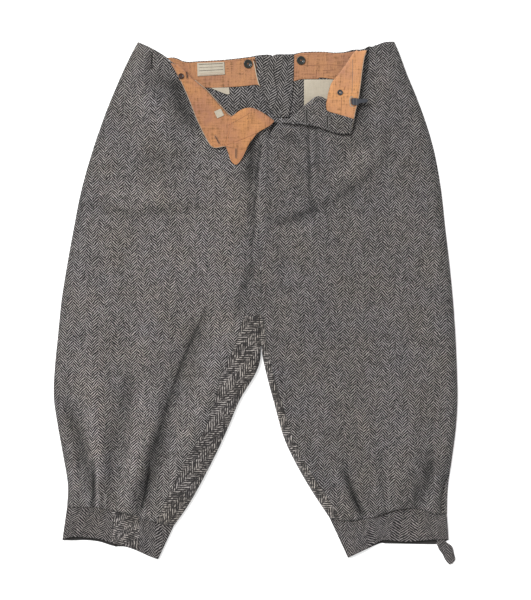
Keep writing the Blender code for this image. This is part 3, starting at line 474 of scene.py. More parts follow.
# the roll at the fold line, then the turned-out part up to the waist edge
def flapRows(side, u, start):
    spec = legs[side]
    roll, flat = frontDrape["rollSteps"], frontDrape["flapSteps"]
    line, outward, turned, waist, lift = turnLine(side, u)
    radius = frontDrape["foldRadius"]
    rows = []
    for step in range(1, roll + flat + 1):
        angle = math.pi * min(step, roll) / roll
        share = max(step - roll, 0) / flat
        rolled = line + outward * radius * math.sin(angle)
        high = start[:, 2] + radius * (1 - math.cos(angle))
        if share:
            fly = np.array(spec["fly"])
            bowed = along(fly, share) - (fly[0] + (fly[-1] - fly[0]) * share)
            pull = np.clip((u - 0.8) / 0.2, 0.0, 1.0)[:, None] ** 2
            rolled = line + (waist - line) * share + bowed * pull
            eased = share * share * (3 - 2 * share)
            high = high + (lift - high) * eased
        total = (step / (roll + flat)) ** 1.2
        straight = line + (waist - line) * total
        level = start[:, 2] + (np.maximum(lift, start[:, 2]) - start[:, 2]) * total
        level[:2] = start[:2, 2]
        place = straight * (1 - turned) + rolled * turned
        z = level * (1 - turned[:, 0]) + high * turned[:, 0]
        rows.append(np.column_stack([place, z]))
    return np.array(rows)


backDrape = {"rows": 130, "underColumns": 46, "strip": 14, "stripShare": 0.86}


# distance from the side edge and height of the underside
def underSteps(width, wrap):
    high = edge["low"] - edge["upright"]
    radius = edge["backRound"]
    turn = np.radians(np.arange(15, 91, 15.0))
    quarter = zip(radius * (1 - np.cos(turn)), high * (1 - np.sin(turn)))
    curl = [(0.0, edge["low"]), (0.0, high), *quarter]
    flat = [(d, 0.0) for d in np.linspace(radius, width - radius, backDrape["underColumns"])[1:]]
    back = turn[::-1][1:].tolist() + [0.0]
    inner = [(width - radius * (1 - math.cos(a)), wrap * high * (1 - math.sin(a))) for a in back]
    return np.array(curl + flat + inner)


def backGrid(side):
    spec = legs[side]
    v = np.linspace(0, 1, backDrape["rows"])
    outer, inside, inner, back, _, _, wrap = stations(side, v)
    width = np.linalg.norm(back - outer, axis=1)
    under = np.array([underSteps(w, s) for w, s in zip(width, wrap)])
    u = under[..., 0] / width[:, None]
    share = np.clip(v * lastRow - (lastRow - 1), 0.0, 1.0)[:, None]
    left = outer * (1 - share) + np.array(spec["backTop"][0]) * share
    vGrid = np.broadcast_to(v[:, None], u.shape)
    plan = patch(left, back, along(spec["seam"], u), along(spec["backTop"], u), u, vGrid)
    grid = np.dstack([plan, under[..., 1]])
    strip = np.linalg.norm(inside - inner, axis=1)
    columns = []
    shares = [*(1 - np.cos(np.linspace(0, math.pi / 2, backDrape["strip"]))) * backDrape["stripShare"]]
    for part in [*shares, -1.0, 1.0]:
        near = np.full(len(v), part)
        if part < 0:
            near = np.clip(1 - edge["lastStep"] / np.maximum(strip, 3.0), backDrape["stripShare"], 1.0)
        point = inner + (inside - inner) * near[:, None]
        fromInner = np.where(near > 0.85, strip, strip * near)
        reach = np.linalg.norm(point - outer, axis=1)
        z = topHeight(side, v, point[:, 0], point[:, 1], reach, fromInner)
        if part == 1.0:
            point = point + (inner - inside) / np.maximum(strip, 0.1)[:, None] * 0.5 * cloth["seamGap"]
        columns.append(np.column_stack([point, z]))
    return np.concatenate([grid, np.array(columns).transpose(1, 0, 2)], axis=1), grid.shape[1]


bandShape = {
    "rows": 26, "columns": 120, "length": 54.0, "height": 9.0, "taper": 0.8, "topRound": 12.0, "uneven": 0.45,
    "edgeDip": 1.2, "stitchDip": 0.45, "seamStitch": 5.0, "hemStitch": 6.0,
}


# a flattened ring: the front half from the outer side to the inner one, then the back half
def bandGrid(side):
    spec = legs[side]
    near = 0.075 * (1 - np.cos(np.linspace(0, math.pi / 2, 9)))
    steps = np.concatenate([near, np.linspace(0.08, 0.92, bandShape["columns"]), 1 - near[::-1]])
    seam, hem = along(spec["seam"], steps), along(spec["hem"], steps)
    down = (hem[:, :2] - seam) / np.linalg.norm(hem[:, :2] - seam, axis=1, keepdims=True)
    start = seam + down * cloth["bandGap"]
    low = edge["low"] + 0.5 * cloth["seamGap"]
    middle = low + edge["upright"]
    rings, grains = [], []
    length = bandShape["length"]
    for w in np.linspace(0, 1, bandShape["rows"]):
        front = start + (hem[:, :2] - start) * w
        back = start + (np.column_stack([hem[:, 0], hem[:, 2]]) - start) * w
        width = np.linalg.norm(front[-1] - front[0])
        inset = np.minimum(steps, 1 - steps) * width
        height = bandShape["height"] - bandShape["taper"] * w
        bump = bandShape["uneven"] * waver(front[:, 0], front[:, 1], 8, 40.0) * rounded(inset, 30.0)
        bump = bump - bandShape["edgeDip"] * math.exp(-((w * length / 3.5) ** 2))
        upper = math.exp(-(((w * length - bandShape["seamStitch"]) / 1.3) ** 2))
        lower = math.exp(-(((1 - w) * length - bandShape["hemStitch"]) ** 2 / 1.7))
        bump = bump - bandShape["stitchDip"] * (upper + lower)
        top = middle + (height - middle + bump) * rounded(inset, bandShape["topRound"])
        under = (middle - edge["upright"]) * (1 - rounded(inset, edge["backRound"]))
        ring = np.vstack([np.column_stack([front, top]), np.column_stack([back, under])[::-1]])
        rings.append(ring)
        span = np.concatenate([steps * width, 2 * width - steps[::-1] * width])
        grains.append(np.column_stack([span, np.full(len(span), -w * length)]))
    return np.array(rings), np.array(grains)


def placed(points):
    points = np.asarray(points, float)
    return (points - np.array((0.0, centreY, 0.0))) * mm


def addMesh(name, verts, faces, paints, grain=None, slots=None, smooth=True, paintedShading=None):
    data = bpy.data.meshes.new(name)
    data.from_pydata(verts.tolist(), [], faces.tolist() if hasattr(faces, "tolist") else faces)
    # a point attribute of painted shade and painted highlight, as a share of the colour
    if paintedShading is not None:
        data.attributes.new("paintedShading", "FLOAT", "POINT").data.foreach_set("value", paintedShading.astype(np.float32))
    if grain is not None:
        layer = data.uv_layers.new(name="grain")
        corners = np.empty(len(data.loops), int)
        data.loops.foreach_get("vertex_index", corners)
        layer.data.foreach_set("uv", (grain[corners] * mm).ravel())
    if slots is not None:
        data.polygons.foreach_set("material_index", slots)
    data.polygons.foreach_set("use_smooth", np.full(len(data.polygons), smooth))
    obj = bpy.data.objects.new(name, data)
    for paint in paints if isinstance(paints, (list, tuple)) else [paints]:
        data.materials.append(paint)
    bpy.context.scene.collection.objects.link(obj)
    return obj


# cloth from a grid of points on one face, thickened away from the side that the face looks to
def addCloth(name, grid, wall, paints, flip=False, ring=False, keep=None, grain=None, slots=None, paintedShading=None):
    rows, columns = grid.shape[:2]
    index = np.arange(rows * columns).reshape(rows, columns)
    ahead = np.roll(index, -1, axis=1)
    quads = np.stack([index[:-1], ahead[:-1], ahead[1:], index[1:]], axis=-1)
    if not ring:
        quads = quads[:, :-1]
    shown = np.ones(quads.shape[:2], bool) if keep is None else keep
    picked = None if slots is None else slots[shown]
    quads = quads[shown]
    if flip:
        quads = quads[:, ::-1]
    flatGrain = (grid[..., :2] if grain is None else grain).reshape(-1, 2)
    used, compact = np.unique(quads, return_inverse=True)
    verts = placed(grid.reshape(-1, 3)[used])
    shade = None if paintedShading is None else paintedShading.reshape(-1)[used]
    obj = addMesh(name, verts, compact.reshape(-1, 4), paints, flatGrain[used], picked, paintedShading=shade)
    shell = obj.modifiers.new("wall", "SOLIDIFY")
    shell.thickness = wall * mm
    shell.offset = -1.0
    shell.use_rim = True
    shell.use_quality_normals = True
    return obj


# the faces between rings of points that follow one another
def ringFaces(rings, around, base=0):
    faces = []
    for ring in range(rings - 1):
        start = base + ring * around
        for k in range(around):
            a, b = start + k, start + (k + 1) % around
            faces.append((a, b, b + around, a + around))
    return faces


def gridNormals(grid):
    normal = np.cross(np.gradient(grid, axis=1), np.gradient(grid, axis=0))
    return normal / np.maximum(np.linalg.norm(normal, axis=2, keepdims=True), 1e-9)


# shader helpers
def newShader(name, roughness, **values):
    made = bpy.data.materials.new(name)
    made.use_nodes = True
    shader = made.node_tree.nodes["Principled BSDF"]
    shader.inputs["Roughness"].default_value = roughness
    for socket, value in values.items():
        shader.inputs[socket.replace("_", " ")].default_value = value
    return made, made.node_tree, shader


def calc(tree, operation, *values):
    node = tree.nodes.new("ShaderNodeMath")
    node.operation = operation
    for socket, value in zip(node.inputs, values):
        if isinstance(value, (int, float)):
            socket.default_value = value
        else:
            tree.links.new(value, socket)
    return node.outputs[0]


# a new shader node with its inputs linked or set
def nodeOf(tree, kind, **inputs):
    node = tree.nodes.new("ShaderNode" + kind)
    for name, value in inputs.items():
        socket = node.inputs[name.replace("_", " ")]
        if isinstance(value, bpy.types.NodeSocket):
            tree.links.new(value, socket)
        else:
            socket.default_value = value
    return node


def noiseOf(tree, place, scale, detail=2.0, roughness=0.6):
    node = nodeOf(tree, "TexNoise", Vector=place, Scale=scale, Detail=detail, Roughness=roughness)
    return node.outputs["Fac"]


def mixOf(tree, share, first, second, blend="MIX"):
    node = tree.nodes.new("ShaderNodeMix")
    node.data_type = "RGBA"
    node.blend_type = blend
    sockets = {"Factor": node.inputs[0], "A": node.inputs[6], "B": node.inputs[7]}
    for key, value in (("Factor", share), ("A", first), ("B", second)):
        if isinstance(value, (int, float)):
            sockets[key].default_value = value
        elif isinstance(value, tuple):
            sockets[key].default_value = (*value, 1.0)
        else:
            tree.links.new(value, sockets[key])
    return node.outputs[2]


def bumpOf(tree, height, strength, distance, shader):
    node = nodeOf(tree, "Bump", Height=height, Strength=strength, Distance=distance)
    tree.links.new(node.outputs[0], shader.inputs["Normal"])


# a grey with one value in its three channels
def greyOf(tree, value):
    return nodeOf(tree, "CombineColor", Red=value, Green=value, Blue=value).outputs[0]


# a value's share of the way from low to high, up to a top value
def rangeOf(tree, value, low, high, top=1.0):
    return nodeOf(tree, "MapRange", Value=value, From_Min=low, From_Max=high, To_Max=top).outputs[0]


# the grain map in mm, turned by some degrees
def grainOf(tree, turn=0.0):
    source = nodeOf(tree, "UVMap")
    source.uv_map = "grain"
    mapping = nodeOf(tree, "Mapping", Vector=source.outputs[0], Scale=(1000.0, 1000.0, 1000.0))
    mapping.inputs["Rotation"].default_value = (0.0, 0.0, math.radians(turn))
    mapping.inputs["Location"].default_value = (4000.0, 4000.0, 0.0)
    return mapping.outputs[0]


# broken herringbone: the twill lines turn at each column and step by half a line there
def tweed(name, look, turn=0.0):
    made, tree, shader = newShader(name, 0.95, Sheen_Weight=0.12, Sheen_Roughness=0.5)
    place = grainOf(tree, turn)
    column, pitch = look["column"], look["pitch"]
    split = nodeOf(tree, "SeparateXYZ", Vector=place)
    across, up = split.outputs[0], split.outputs[1]
    sway = calc(tree, "MULTIPLY_ADD", noiseOf(tree, place, 0.05, 1.0), 4.0, -2.0)
    across = calc(tree, "ADD", across, sway)
    up = calc(tree, "MULTIPLY_ADD", noiseOf(tree, place, 0.2, 2.0), 3.6, up)
    parity = calc(tree, "FLOORED_MODULO", calc(tree, "FLOOR", calc(tree, "DIVIDE", across, column)), 2.0)
    zigzag = calc(tree, "ADD", up, calc(tree, "PINGPONG", across, column))
    zigzag = calc(tree, "MULTIPLY_ADD", parity, 0.5 * pitch, zigzag)
    wave = calc(tree, "SINE", calc(tree, "MULTIPLY", zigzag, math.tau / pitch))
    threadCell = calc(tree, "FLOOR", calc(tree, "DIVIDE", across, look["stitch"]))
    lineCell = calc(tree, "FLOOR", calc(tree, "DIVIDE", zigzag, pitch))
    cell = nodeOf(tree, "CombineXYZ", X=threadCell, Y=lineCell)
    chance = nodeOf(tree, "TexWhiteNoise", Vector=cell.outputs[0])
    yarn = noiseOf(tree, place, 0.9, 1.0, 0.6)
    level = calc(tree, "MULTIPLY_ADD", wave, look["contrast"], look["balance"])
    level = calc(tree, "MULTIPLY_ADD", calc(tree, "SUBTRACT", chance.outputs[0], 0.5), look["chance"], level)
    level = calc(tree, "MULTIPLY_ADD", calc(tree, "SUBTRACT", yarn, 0.5), look["yarn"], level)
    clamp = nodeOf(tree, "Clamp", Value=level)
    colour = mixOf(tree, clamp.outputs[0], look["dark"], look["light"])
    tinted = mixOf(tree, noiseOf(tree, place, 0.016, 2.0), (0.99, 0.97, 1.08), (1.09, 1.0, 0.88))
    colour = mixOf(tree, 1.0, colour, tinted, "MULTIPLY")
    flecks = calc(tree, "GREATER_THAN", noiseOf(tree, place, 0.3, 2.0, 0.8), 0.68)
    colour = mixOf(tree, calc(tree, "MULTIPLY", flecks, 0.5), colour, (0.16, 0.10, 0.07))
    worn = calc(tree, "MULTIPLY_ADD", noiseOf(tree, place, 0.04, 3.0), 0.5, 0.75)
    colour = mixOf(tree, 1.0, colour, greyOf(tree, worn), "MULTIPLY")
    # painted shade and painted highlight stored on the points darken or lighten the colour
    toned = nodeOf(tree, "Attribute")
    toned.attribute_name = "paintedShading"
    factor = calc(tree, "ADD", toned.outputs["Fac"], 1.0)
    colour = mixOf(tree, 1.0, colour, greyOf(tree, factor), "MULTIPLY")
    tree.links.new(colour, shader.inputs["Base Color"])
    bumpOf(tree, calc(tree, "MULTIPLY_ADD", yarn, 0.8, clamp.outputs[0]), look["bump"], 0.0006, shader)
    return made


# plain cotton: thread grid, soft creases along and across it with painted shade along them, worn and soiled
# patches
def cotton(name, colour, worn, creases=0.3, weave=0.7, patches=0.03):
    made, tree, shader = newShader(name, 0.86, Sheen_Weight=0.1, Sheen_Roughness=0.5)
    place = grainOf(tree)
    split = nodeOf(tree, "SeparateXYZ", Vector=place)
    warp = calc(tree, "SINE", calc(tree, "MULTIPLY", split.outputs[0], math.tau / weave))
    weft = calc(tree, "SINE", calc(tree, "MULTIPLY", split.outputs[1], math.tau / weave))
    mottled = noiseOf(tree, place, patches, 4.0, 0.6)
    fine = noiseOf(tree, place, 0.7, 3.0, 0.7)
    lines = []
    for stretch in ((0.30, 0.035, 1.0), (0.05, 0.34, 1.0)):
        stretched = nodeOf(tree, "Mapping", Vector=place, Scale=stretch)
        lines.append(noiseOf(tree, stretched.outputs[0], 1.0, 3.0, 0.65))
    crease = calc(tree, "MULTIPLY_ADD", lines[0], 0.6, calc(tree, "MULTIPLY", lines[1], 0.5))
    mixed = mixOf(tree, rangeOf(tree, mottled, 0.36, 0.66), colour, worn)
    mixed = mixOf(tree, calc(tree, "MULTIPLY", fine, 0.5), mixed, tuple(0.45 * c for c in colour))
    # painted shade along the creases
    mixed = mixOf(tree, rangeOf(tree, crease, 0.56, 0.78, creases), mixed, tuple(0.42 * c for c in colour))
    tree.links.new(mixed, shader.inputs["Base Color"])
    threads = calc(tree, "MULTIPLY", warp, weft)
    height = calc(tree, "MULTIPLY_ADD", threads, 0.12, calc(tree, "MULTIPLY", fine, 0.3))
    height = calc(tree, "MULTIPLY_ADD", crease, 5.0 * creases, height)
    bumpOf(tree, height, 0.6, 0.0006, shader)
    return made


# horn, steel and thread take their marks from object space
def solidPaint(name, colour, roughness, metallic=0.0, marks=900.0, depth=0.0001, second=None):
    made, tree, shader = newShader(name, roughness, Metallic=metallic)
    place = nodeOf(tree, "TexCoord").outputs["Object"]
    marbled = noiseOf(tree, place, marks, 3.0, 0.65)
    mixed = mixOf(tree, marbled, colour, second or tuple(0.45 * c for c in colour))
    tree.links.new(mixed, shader.inputs["Base Color"])
    bumpOf(tree, marbled, 0.3, depth, shader)
    return made


print("materials")
tweedLook = {
    "column": 10.3, "pitch": 4.4, "stitch": 2.4, "contrast": 1.8, "balance": -0.47, "chance": 1.1,
    "yarn": 0.8, "dark": (0.006, 0.006, 0.007), "light": (0.395, 0.389, 0.375), "bump": 0.3,
}
darkLook = {**tweedLook, "light": (0.325, 0.32, 0.31)}
bandLook = {**tweedLook, "light": (0.285, 0.275, 0.265)}
boldLook = {
    **tweedLook, "column": 13.0, "pitch": 5.0, "contrast": 0.9, "balance": -0.25, "yarn": 2.6, "chance": 1.3,
    "dark": (0.022, 0.021, 0.021), "light": (0.46, 0.44, 0.41),
}
paint = {
    "right": tweed("tweedRight", tweedLook),
    "left": tweed("tweedLeft", darkLook),
    "bold": tweed("tweedBold", boldLook, 45.0),
    "band": tweed("tweedBand", bandLook),
    "turning": tweed("tweedTurning", {**darkLook, "pitch": 4.8}, 10.0),
    "inside": tweed("tweedInside", {**darkLook, "balance": -0.5, "pitch": 4.8}),
    "tan": cotton("tanCotton", (0.67, 0.305, 0.115), (0.46, 0.205, 0.125), 1.7, patches=0.02),
    "tanPale": cotton("tanCottonPale", (0.78, 0.37, 0.15), (0.52, 0.245, 0.15), 1.7, patches=0.02),
    "tanBack": cotton("tanCottonInside", (0.62, 0.295, 0.13), (0.44, 0.205, 0.125), 1.9, patches=0.024),
    "ivory": cotton("ivoryCotton", (0.66, 0.59, 0.47), (0.55, 0.48, 0.37)),
    "piping": cotton("edgeTape", (0.58, 0.44, 0.32), (0.42, 0.3, 0.21)),
    "lining": cotton("darkLining", (0.035, 0.032, 0.03), (0.02, 0.018, 0.017)),
    "horn": solidPaint("darkHorn", (0.03, 0.034, 0.03), 0.22, marks=300.0),
    "brownHorn": solidPaint("brownHorn", (0.06, 0.028, 0.022), 0.3, marks=300.0),
    "steel": solidPaint("darkSteel", (0.085, 0.09, 0.105), 0.42, 0.75, 700.0),
}
threadColours = {
    "tanThread": ((0.5, 0.28, 0.17), 0.8),
    "darkThread": ((0.03, 0.025, 0.022), 0.8),
    "creamThread": ((0.6, 0.53, 0.42), 0.8),
    "brownThread": ((0.11, 0.05, 0.03), 0.8),
    "seamThread": ((0.38, 0.18, 0.095), 0.85),
    "greyThread": ((0.2, 0.195, 0.19), 0.85),
}
for name, (colour, roughness) in threadColours.items():
    paint[name] = solidPaint(name, colour, roughness, marks=2500.0)


def finishPiece(obj, node=None):
    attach(obj, "root")
    if node:
        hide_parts(node)
    return obj


print("fronts")
fronts, grids = {}, {}
for side in legs:
    grid = frontGrid(side)
    grids[side] = grid
    # painted shade and painted highlight along the strokes, and painted shade along the outer edge
    paintedShading = foldHeight(grid[..., 0], grid[..., 1], shadeAndHighlightStrokes)
    fromEdge = np.linalg.norm(grid[..., :2] - grid[:, :1, :2], axis=2)
    paintedShading = paintedShading - frontDrape["edgeShade"] * np.exp(-((fromEdge / frontDrape["shadeWidth"]) ** 2))
    paintedShading[frontDrape["bodyRows"] :] = 0.0
    name = "frontCloth" + side.title()
    obj = addCloth(name, grid, cloth["tweed"], paint[side], flip=side == "left", paintedShading=paintedShading)
    fronts[side] = finishPiece(obj, "front_" + side)

print("backs")
# the strip along the inner leg and its edge columns show the bold weave below this y;
# the right back's edge columns move a little away from the strip
innerStrip = {"boldBelow": -24.0, "edgeColumns": 3, "movedColumns": 6, "moved": 0.1}
for side in legs:
    grid, stripStart = backGrid(side)
    rows, columns = grid.shape[:2]
    r, c = np.indices((rows - 1, columns - 1))
    forkAt = round(forkRow / lastRow * (rows - 1))
    tongueAt = round(tongueRow / lastRow * (rows - 1))
    if side == "right":
        movedFrom = stripStart - innerStrip["movedColumns"]
        grid[forkAt + 1 :, movedFrom:stripStart, 0] -= innerStrip["moved"]
    keep = ~(((c == stripStart - 1) & (r >= forkAt)) | ((c >= stripStart) & (r >= tongueAt)))
    onStrip = c >= stripStart - innerStrip["edgeColumns"]
    slots = np.where(onStrip, np.where(grid[:-1, :-1, 1] < innerStrip["boldBelow"], 1, 2), 0)
    obj = addCloth(
        "backCloth" + side.title(), grid, cloth["tweed"], [paint["inside"], paint["bold"], paint["left"]],
        flip=side == "right", keep=keep, slots=slots,
    )
    finishPiece(obj, "back_" + side)

print("knee bands")
# the stretch of x, on the front half, in the bold weave; the left band has none
boldPatch = {"right": (-230.0, -187.0), "left": (999.0, 999.0)}
for side in legs:
    grid, grain = bandGrid(side)
    rows, columns = grid.shape[:2]
    x = 0.5 * (grid[:-1, :, 0] + grid[1:, :, 0])
    frontHalf = np.broadcast_to(np.arange(columns) < columns // 2, (rows - 1, columns))
    slots = ((x > boldPatch[side][0]) & (x < boldPatch[side][1]) & frontHalf).astype(int)
    obj = addCloth(
        "kneeBand" + side.title(), grid, cloth["tweed"], [paint["band"], paint["bold"], paint["lining"]],
        flip=side == "right", ring=True, grain=grain, slots=slots,
    )
    obj.modifiers["wall"].material_offset = 2
    finishPiece(obj, "knee_band_" + side)

print("turned-out waist")
flapPieces = {"hemInset": 0.9, "tanPucker": 0.35, "columns": 46, "turned": 0.86}
flapFrom = frontDrape["bodyRows"] - 1 + frontDrape["rollSteps"] // 2
# each side's facing, and the piece between it and the opening
flapParts = {
    "right": {
        "facingPaint": "tan", "facingArea": 0.0052, "joinInset": 0.07, "name": "flyBearer",
        "node": "fly_bearer", "wall": cloth["cotton"], "paint": "tan", "slot": "cotton_tan", "area": 0.0029,
    },
    "left": {
        "facingPaint": "tanPale", "facingArea": 0.0041, "joinInset": cloth["seamGap"], "name": "flyStrip",
        "node": "fly_strip", "wall": cloth["tweed"], "paint": "left", "slot": "tweed_left", "area": 0.0036,
    },
}
# where the facing ends and the strip along the opening begins, left side: a bent line in x y
borderBend = {"x": 112.4, "y": 306.0, "end": (158.0, 292.5)}


# vectors brought to one length
def cutTo(vectors, length):
    return vectors / np.linalg.norm(vectors, axis=1, keepdims=True) * length


# the front's own turned-out points, moved out through its cloth, between two columns that may differ by row
def flapCover(side, start, stop, thickness, name, paintOf):
    grid = grids[side]
    normal = gridNormals(grid) * legs[side]["sign"]
    lift = cloth["tweed"] + cloth["facingGap"] + thickness
    moved = (grid - normal * lift)[flapFrom:]
    pick = start[:, None] + (stop - start)[:, None] * np.linspace(0, 1, flapPieces["columns"])
    low = np.clip(pick.astype(int), 0, grid.shape[1] - 2)
    part = (pick - low)[..., None]
    index = np.arange(len(moved))[:, None]
    rows = moved[index, low] * (1 - part) + moved[index, low + 1] * part
    rows[-1] += cutTo(rows[-2] - rows[-1], flapPieces["hemInset"])
    if stop[0] < grid.shape[1] - 1:
        rows[:, -1] += cutTo(rows[:, -2] - rows[:, -1], flapParts[side]["joinInset"])
    pucker = flapPieces["tanPucker"] * (1 + waver(rows[..., 0], rows[..., 1], 12, 22.0) * 0.5)
    rows[..., 2] += np.maximum(pucker, 0.0)
    return addCloth(name, rows, thickness, paintOf, flip=side == "right"), rows


# the column, row by row, at which the turned-out left front passes the bent line
def bentBorder(side, first, usual):
    rows = grids[side][flapFrom:]
    slope = (borderBend["end"][1] - borderBend["y"]) / (borderBend["end"][0] - borderBend["x"])
    lineY = borderBend["y"] + (rows[..., 0] - borderBend["x"]) * slope
    inside = np.minimum(rows[..., 0] - borderBend["x"], rows[..., 1] - lineY)
    found = np.full(len(rows), float(usual))
    for r, value in enumerate(inside):
        crossing = [c for c in range(first + 4, len(value) - 4) if value[c] > 0 >= value[c + 1]]
        if crossing:
            found[r] = crossing[0] + value[crossing[0]] / (value[crossing[0]] - value[crossing[0] + 1])
    return np.convolve(np.pad(found, 1, mode="edge"), (0.25, 0.5, 0.25), mode="valid")


flapGrids = {}
for side, spec in flapParts.items():
    width = np.linalg.norm(stations(side, np.ones(1))[1] - frontOuter(side, np.ones(1)), axis=1)
    shares = stepsAcross(width, edge["sideRound"], frontDrape["columns"])[0] / width[0]
    border = int(np.argmin(np.abs(shares - legs[side]["border"])))
    first = int(np.argmax(turnLine(side, shares)[2][:, 0] > flapPieces["turned"]))
    count = len(grids[side]) - flapFrom
    borders = np.full(count, float(border)) if side == "right" else bentBorder(side, first, border)
    start, end = np.full(count, float(first)), np.full(count, grids[side].shape[1] - 1.0)
    facingPaint = paint[spec["facingPaint"]]
    facing, rows = flapCover(side, start, borders, cloth["cotton"], "facing" + side.title(), facingPaint)
    finishPiece(facing, "front_facing_" + side)
    strip, stripRows = flapCover(side, borders, end, spec["wall"], spec["name"], paint[spec["paint"]])
    finishPiece(strip, spec["node"])
    flapGrids[side] = (rows, stripRows)
    fronts[side + "Facing"], fronts[side + "Strip"] = facing, strip

print("inside the open waist")
# each piece as two edges, joined across: x, y
waistPieces = {
    "backFacingRight": {
        "node": "back_facing_right", "slot": "cotton_tan", "paint": "tanBack", "wall": 1.0, "low": 2.3,
        "top": (
            (-146, 391.5), (-129.5, 391.3), (-112, 385), (-86.5, 386), (-50.5, 388), (-10.5, 392.5),
            (-1.3, 393.6),
        ),
        "bottom": ((-120, 350), (-79.5, 344.6), (-42.5, 345.2), (-15, 347.5), (2, 349), (9, 345.2)),
        "cut": (0.155, 0.048, 0.0057),
    },
    "backFacingLeft": {
        "node": "back_facing_left", "slot": "cotton_tan", "paint": "tanBack", "wall": 1.0, "low": 2.3,
        "top": ((62, 396.9), (75, 400.3), (111, 401), (125.5, 399.5), (144, 400.5), (165, 404)),
        "bottom": ((61.3, 354.8), (75, 358.2), (98, 358.2), (104, 360.5), (125, 358.2), (165, 352)),
        "cut": (0.105, 0.05, 0.0045),
    },
    "seamTurningRight": {
        "node": "seam_turning_right", "slot": "tweed_right", "paint": "turning", "wall": 2.0, "low": 2.3,
        "top": (
            (-0.9, 393.9), (1.4, 381), (3.9, 364.5), (10, 343), (18, 324.5), (25.5, 310), (33, 297),
        ),
        "bottom": ((27.2, 394.6), (29.6, 367.5), (32.2, 350), (36.5, 324), (40.5, 305), (42, 297)),
        "cut": (0.032, 0.1, 0.0021),
    },
    "seamTurningLeft": {
        "node": "seam_turning_left", "slot": "tweed_left", "paint": "turning", "wall": 2.0, "low": 2.3,
        "top": ((27.7, 394.6), (30.1, 367.5), (32.7, 350), (37, 324), (41, 305), (42.5, 297)),
        "bottom": ((61.6, 396.6), (60.8, 356), (59.3, 333), (56.3, 314.5), (53, 297)),
        "cut": (0.035, 0.1, 0.0025),
    },
    "pocketBagRight": {
        "node": "pocket_bag_right", "slot": "cotton_ivory", "paint": "ivory", "wall": 1.0, "low": 2.3,
        "top": ((-71, 344.2), (-42.5, 344.8)),
        "bottom": ((-70.5, 343.4), (-63.5, 340.5), (-46.5, 334), (-41.5, 334.5)),
        "cut": (0.029, 0.0105, 0.00021),
    },
    "pocketBagLeft": {
        "node": "pocket_bag_left", "slot": "cotton_ivory", "paint": "ivory", "wall": 1.0, "low": 2.3,
        "top": ((77.8, 357.6), (124.5, 357.6)),
        "bottom": ((77.8, 302), (84, 306), (95, 316), (110, 317), (124.5, 318)),
        "cut": (0.047, 0.056, 0.002),
    },
    "plainLabel": {
        "node": "label", "slot": "label", "paint": "ivory", "wall": 1.0, "low": 3.6,
        "top": ((-93.5, 384), (-50, 385.5)),
        "bottom": ((-93, 362.5), (-49, 365.5)),
        "cut": (0.044, 0.022, 0.0009),
    },
}


# a piece joined across between its two edges, flat at its height
def loftBetween(spec, across=60, down=28):
    s, t = np.linspace(0, 1, across), np.linspace(0, 1, down)
    top, bottom = along(spec["top"], s), along(spec["bottom"], s)
    plan = bottom[None] + (top - bottom)[None] * t[:, None, None]
    z = np.full(plan.shape[:2], spec["low"] + spec["wall"])
    return np.dstack([plan, z])


for name, spec in waistPieces.items():
    grid = loftBetween(spec)
    obj = addCloth(name, grid, spec["wall"], paint[spec["paint"]], flip=name.startswith("seamTurning"))
    finishPiece(obj, spec["node"])

print("tongues and small pieces")


def surfaceOf(obj):
    return BVHTree.FromObject(obj, bpy.context.evaluated_depsgraph_get())


# height and normal of the highest of some surfaces under a point
def dropOn(surfaces, x, y):
    best = (0.0, Vector((0, 0, 1)))
    for surface in surfaces if isinstance(surfaces, (list, tuple)) else [surfaces]:
        hit, normal, _, _ = surface.ray_cast(Vector(placed((x, y, 100.0))), Vector((0, 0, -1)))
        if hit is not None and hit.z / mm > best[0]:
            best = (hit.z / mm, normal)
    return best


trees = {key: surfaceOf(obj) for key, obj in fronts.items()}
# two edges in x y joined across; it rises from the tip to the root, over the bearer
tongue = {
    "top": ((-47.5, 250), (-36, 255), (-25, 258.5), (-15, 261.5), (-8, 262.5)),
    "bottom": (
        (-47.4, 249.2), (-43.6, 239.2), (-38.9, 226), (-30.4, 220.3), (-21.9, 229.8), (-15.2, 243),
        (-7.7, 258.1),
    ),
    "wall": 1.2, "low": 0.0, "tip": (220.0, 13.8), "root": (252.0, 16.2), "gap": 0.25, "leastGap": 0.2,
}
grid = loftBetween(tongue, 60, 30)
bearer = [trees["rightStrip"], trees["rightFacing"]]
over = np.array([[dropOn(bearer, *p[:2])[0] for p in row] for row in grid])
(tipY, tipHeight), (rootY, rootHeight) = tongue["tip"], tongue["root"]
slope = tipHeight + (rootHeight - tipHeight) * np.clip((grid[..., 1] - tipY) / (rootY - tipY), 0, 1)
grid[..., 2] = np.maximum(slope, over + tongue["wall"] + tongue["gap"])
for _ in range(3):
    middle = (grid[:-2, :, 2] + grid[2:, :, 2]) / 2
    grid[1:-1, :, 2] = np.maximum(middle, over[1:-1] + tongue["wall"] + tongue["leastGap"])
obj = addCloth("bearerTongue", grid, tongue["wall"], paint["tan"])
finishPiece(obj, "bearer_tongue")
trees["tongue"] = surfaceOf(obj)
# left x y, right x y, height of the upper face
strapRows = (
    (289, -372, 302.5, -371, 4.8), (290, -384, 304, -382, 4.8), (293.5, -395, 315, -391, 3.6),
    (300, -404, 318.7, -404, 2.8), (304.2, -412.8, 320.4, -412, 2.5), (311, -420.4, 316.2, -418.6, 2.4),
)
ends = along(strapRows, np.linspace(0, 1, 40))
shares = np.linspace(0, 1, 24)[None, :]
x = ends[:, :1] + (ends[:, 2:3] - ends[:, :1]) * shares
y = ends[:, 1:2] + (ends[:, 3:4] - ends[:, 1:2]) * shares
z = ends[:, 4:5] + 0.5 * np.sin(math.pi * shares)
obj = addCloth("strapEnd", np.dstack([x, y, z]), cloth["tweed"], paint["band"], flip=True)
finishPiece(obj, "strap_end")
trees["strap"] = surfaceOf(obj)

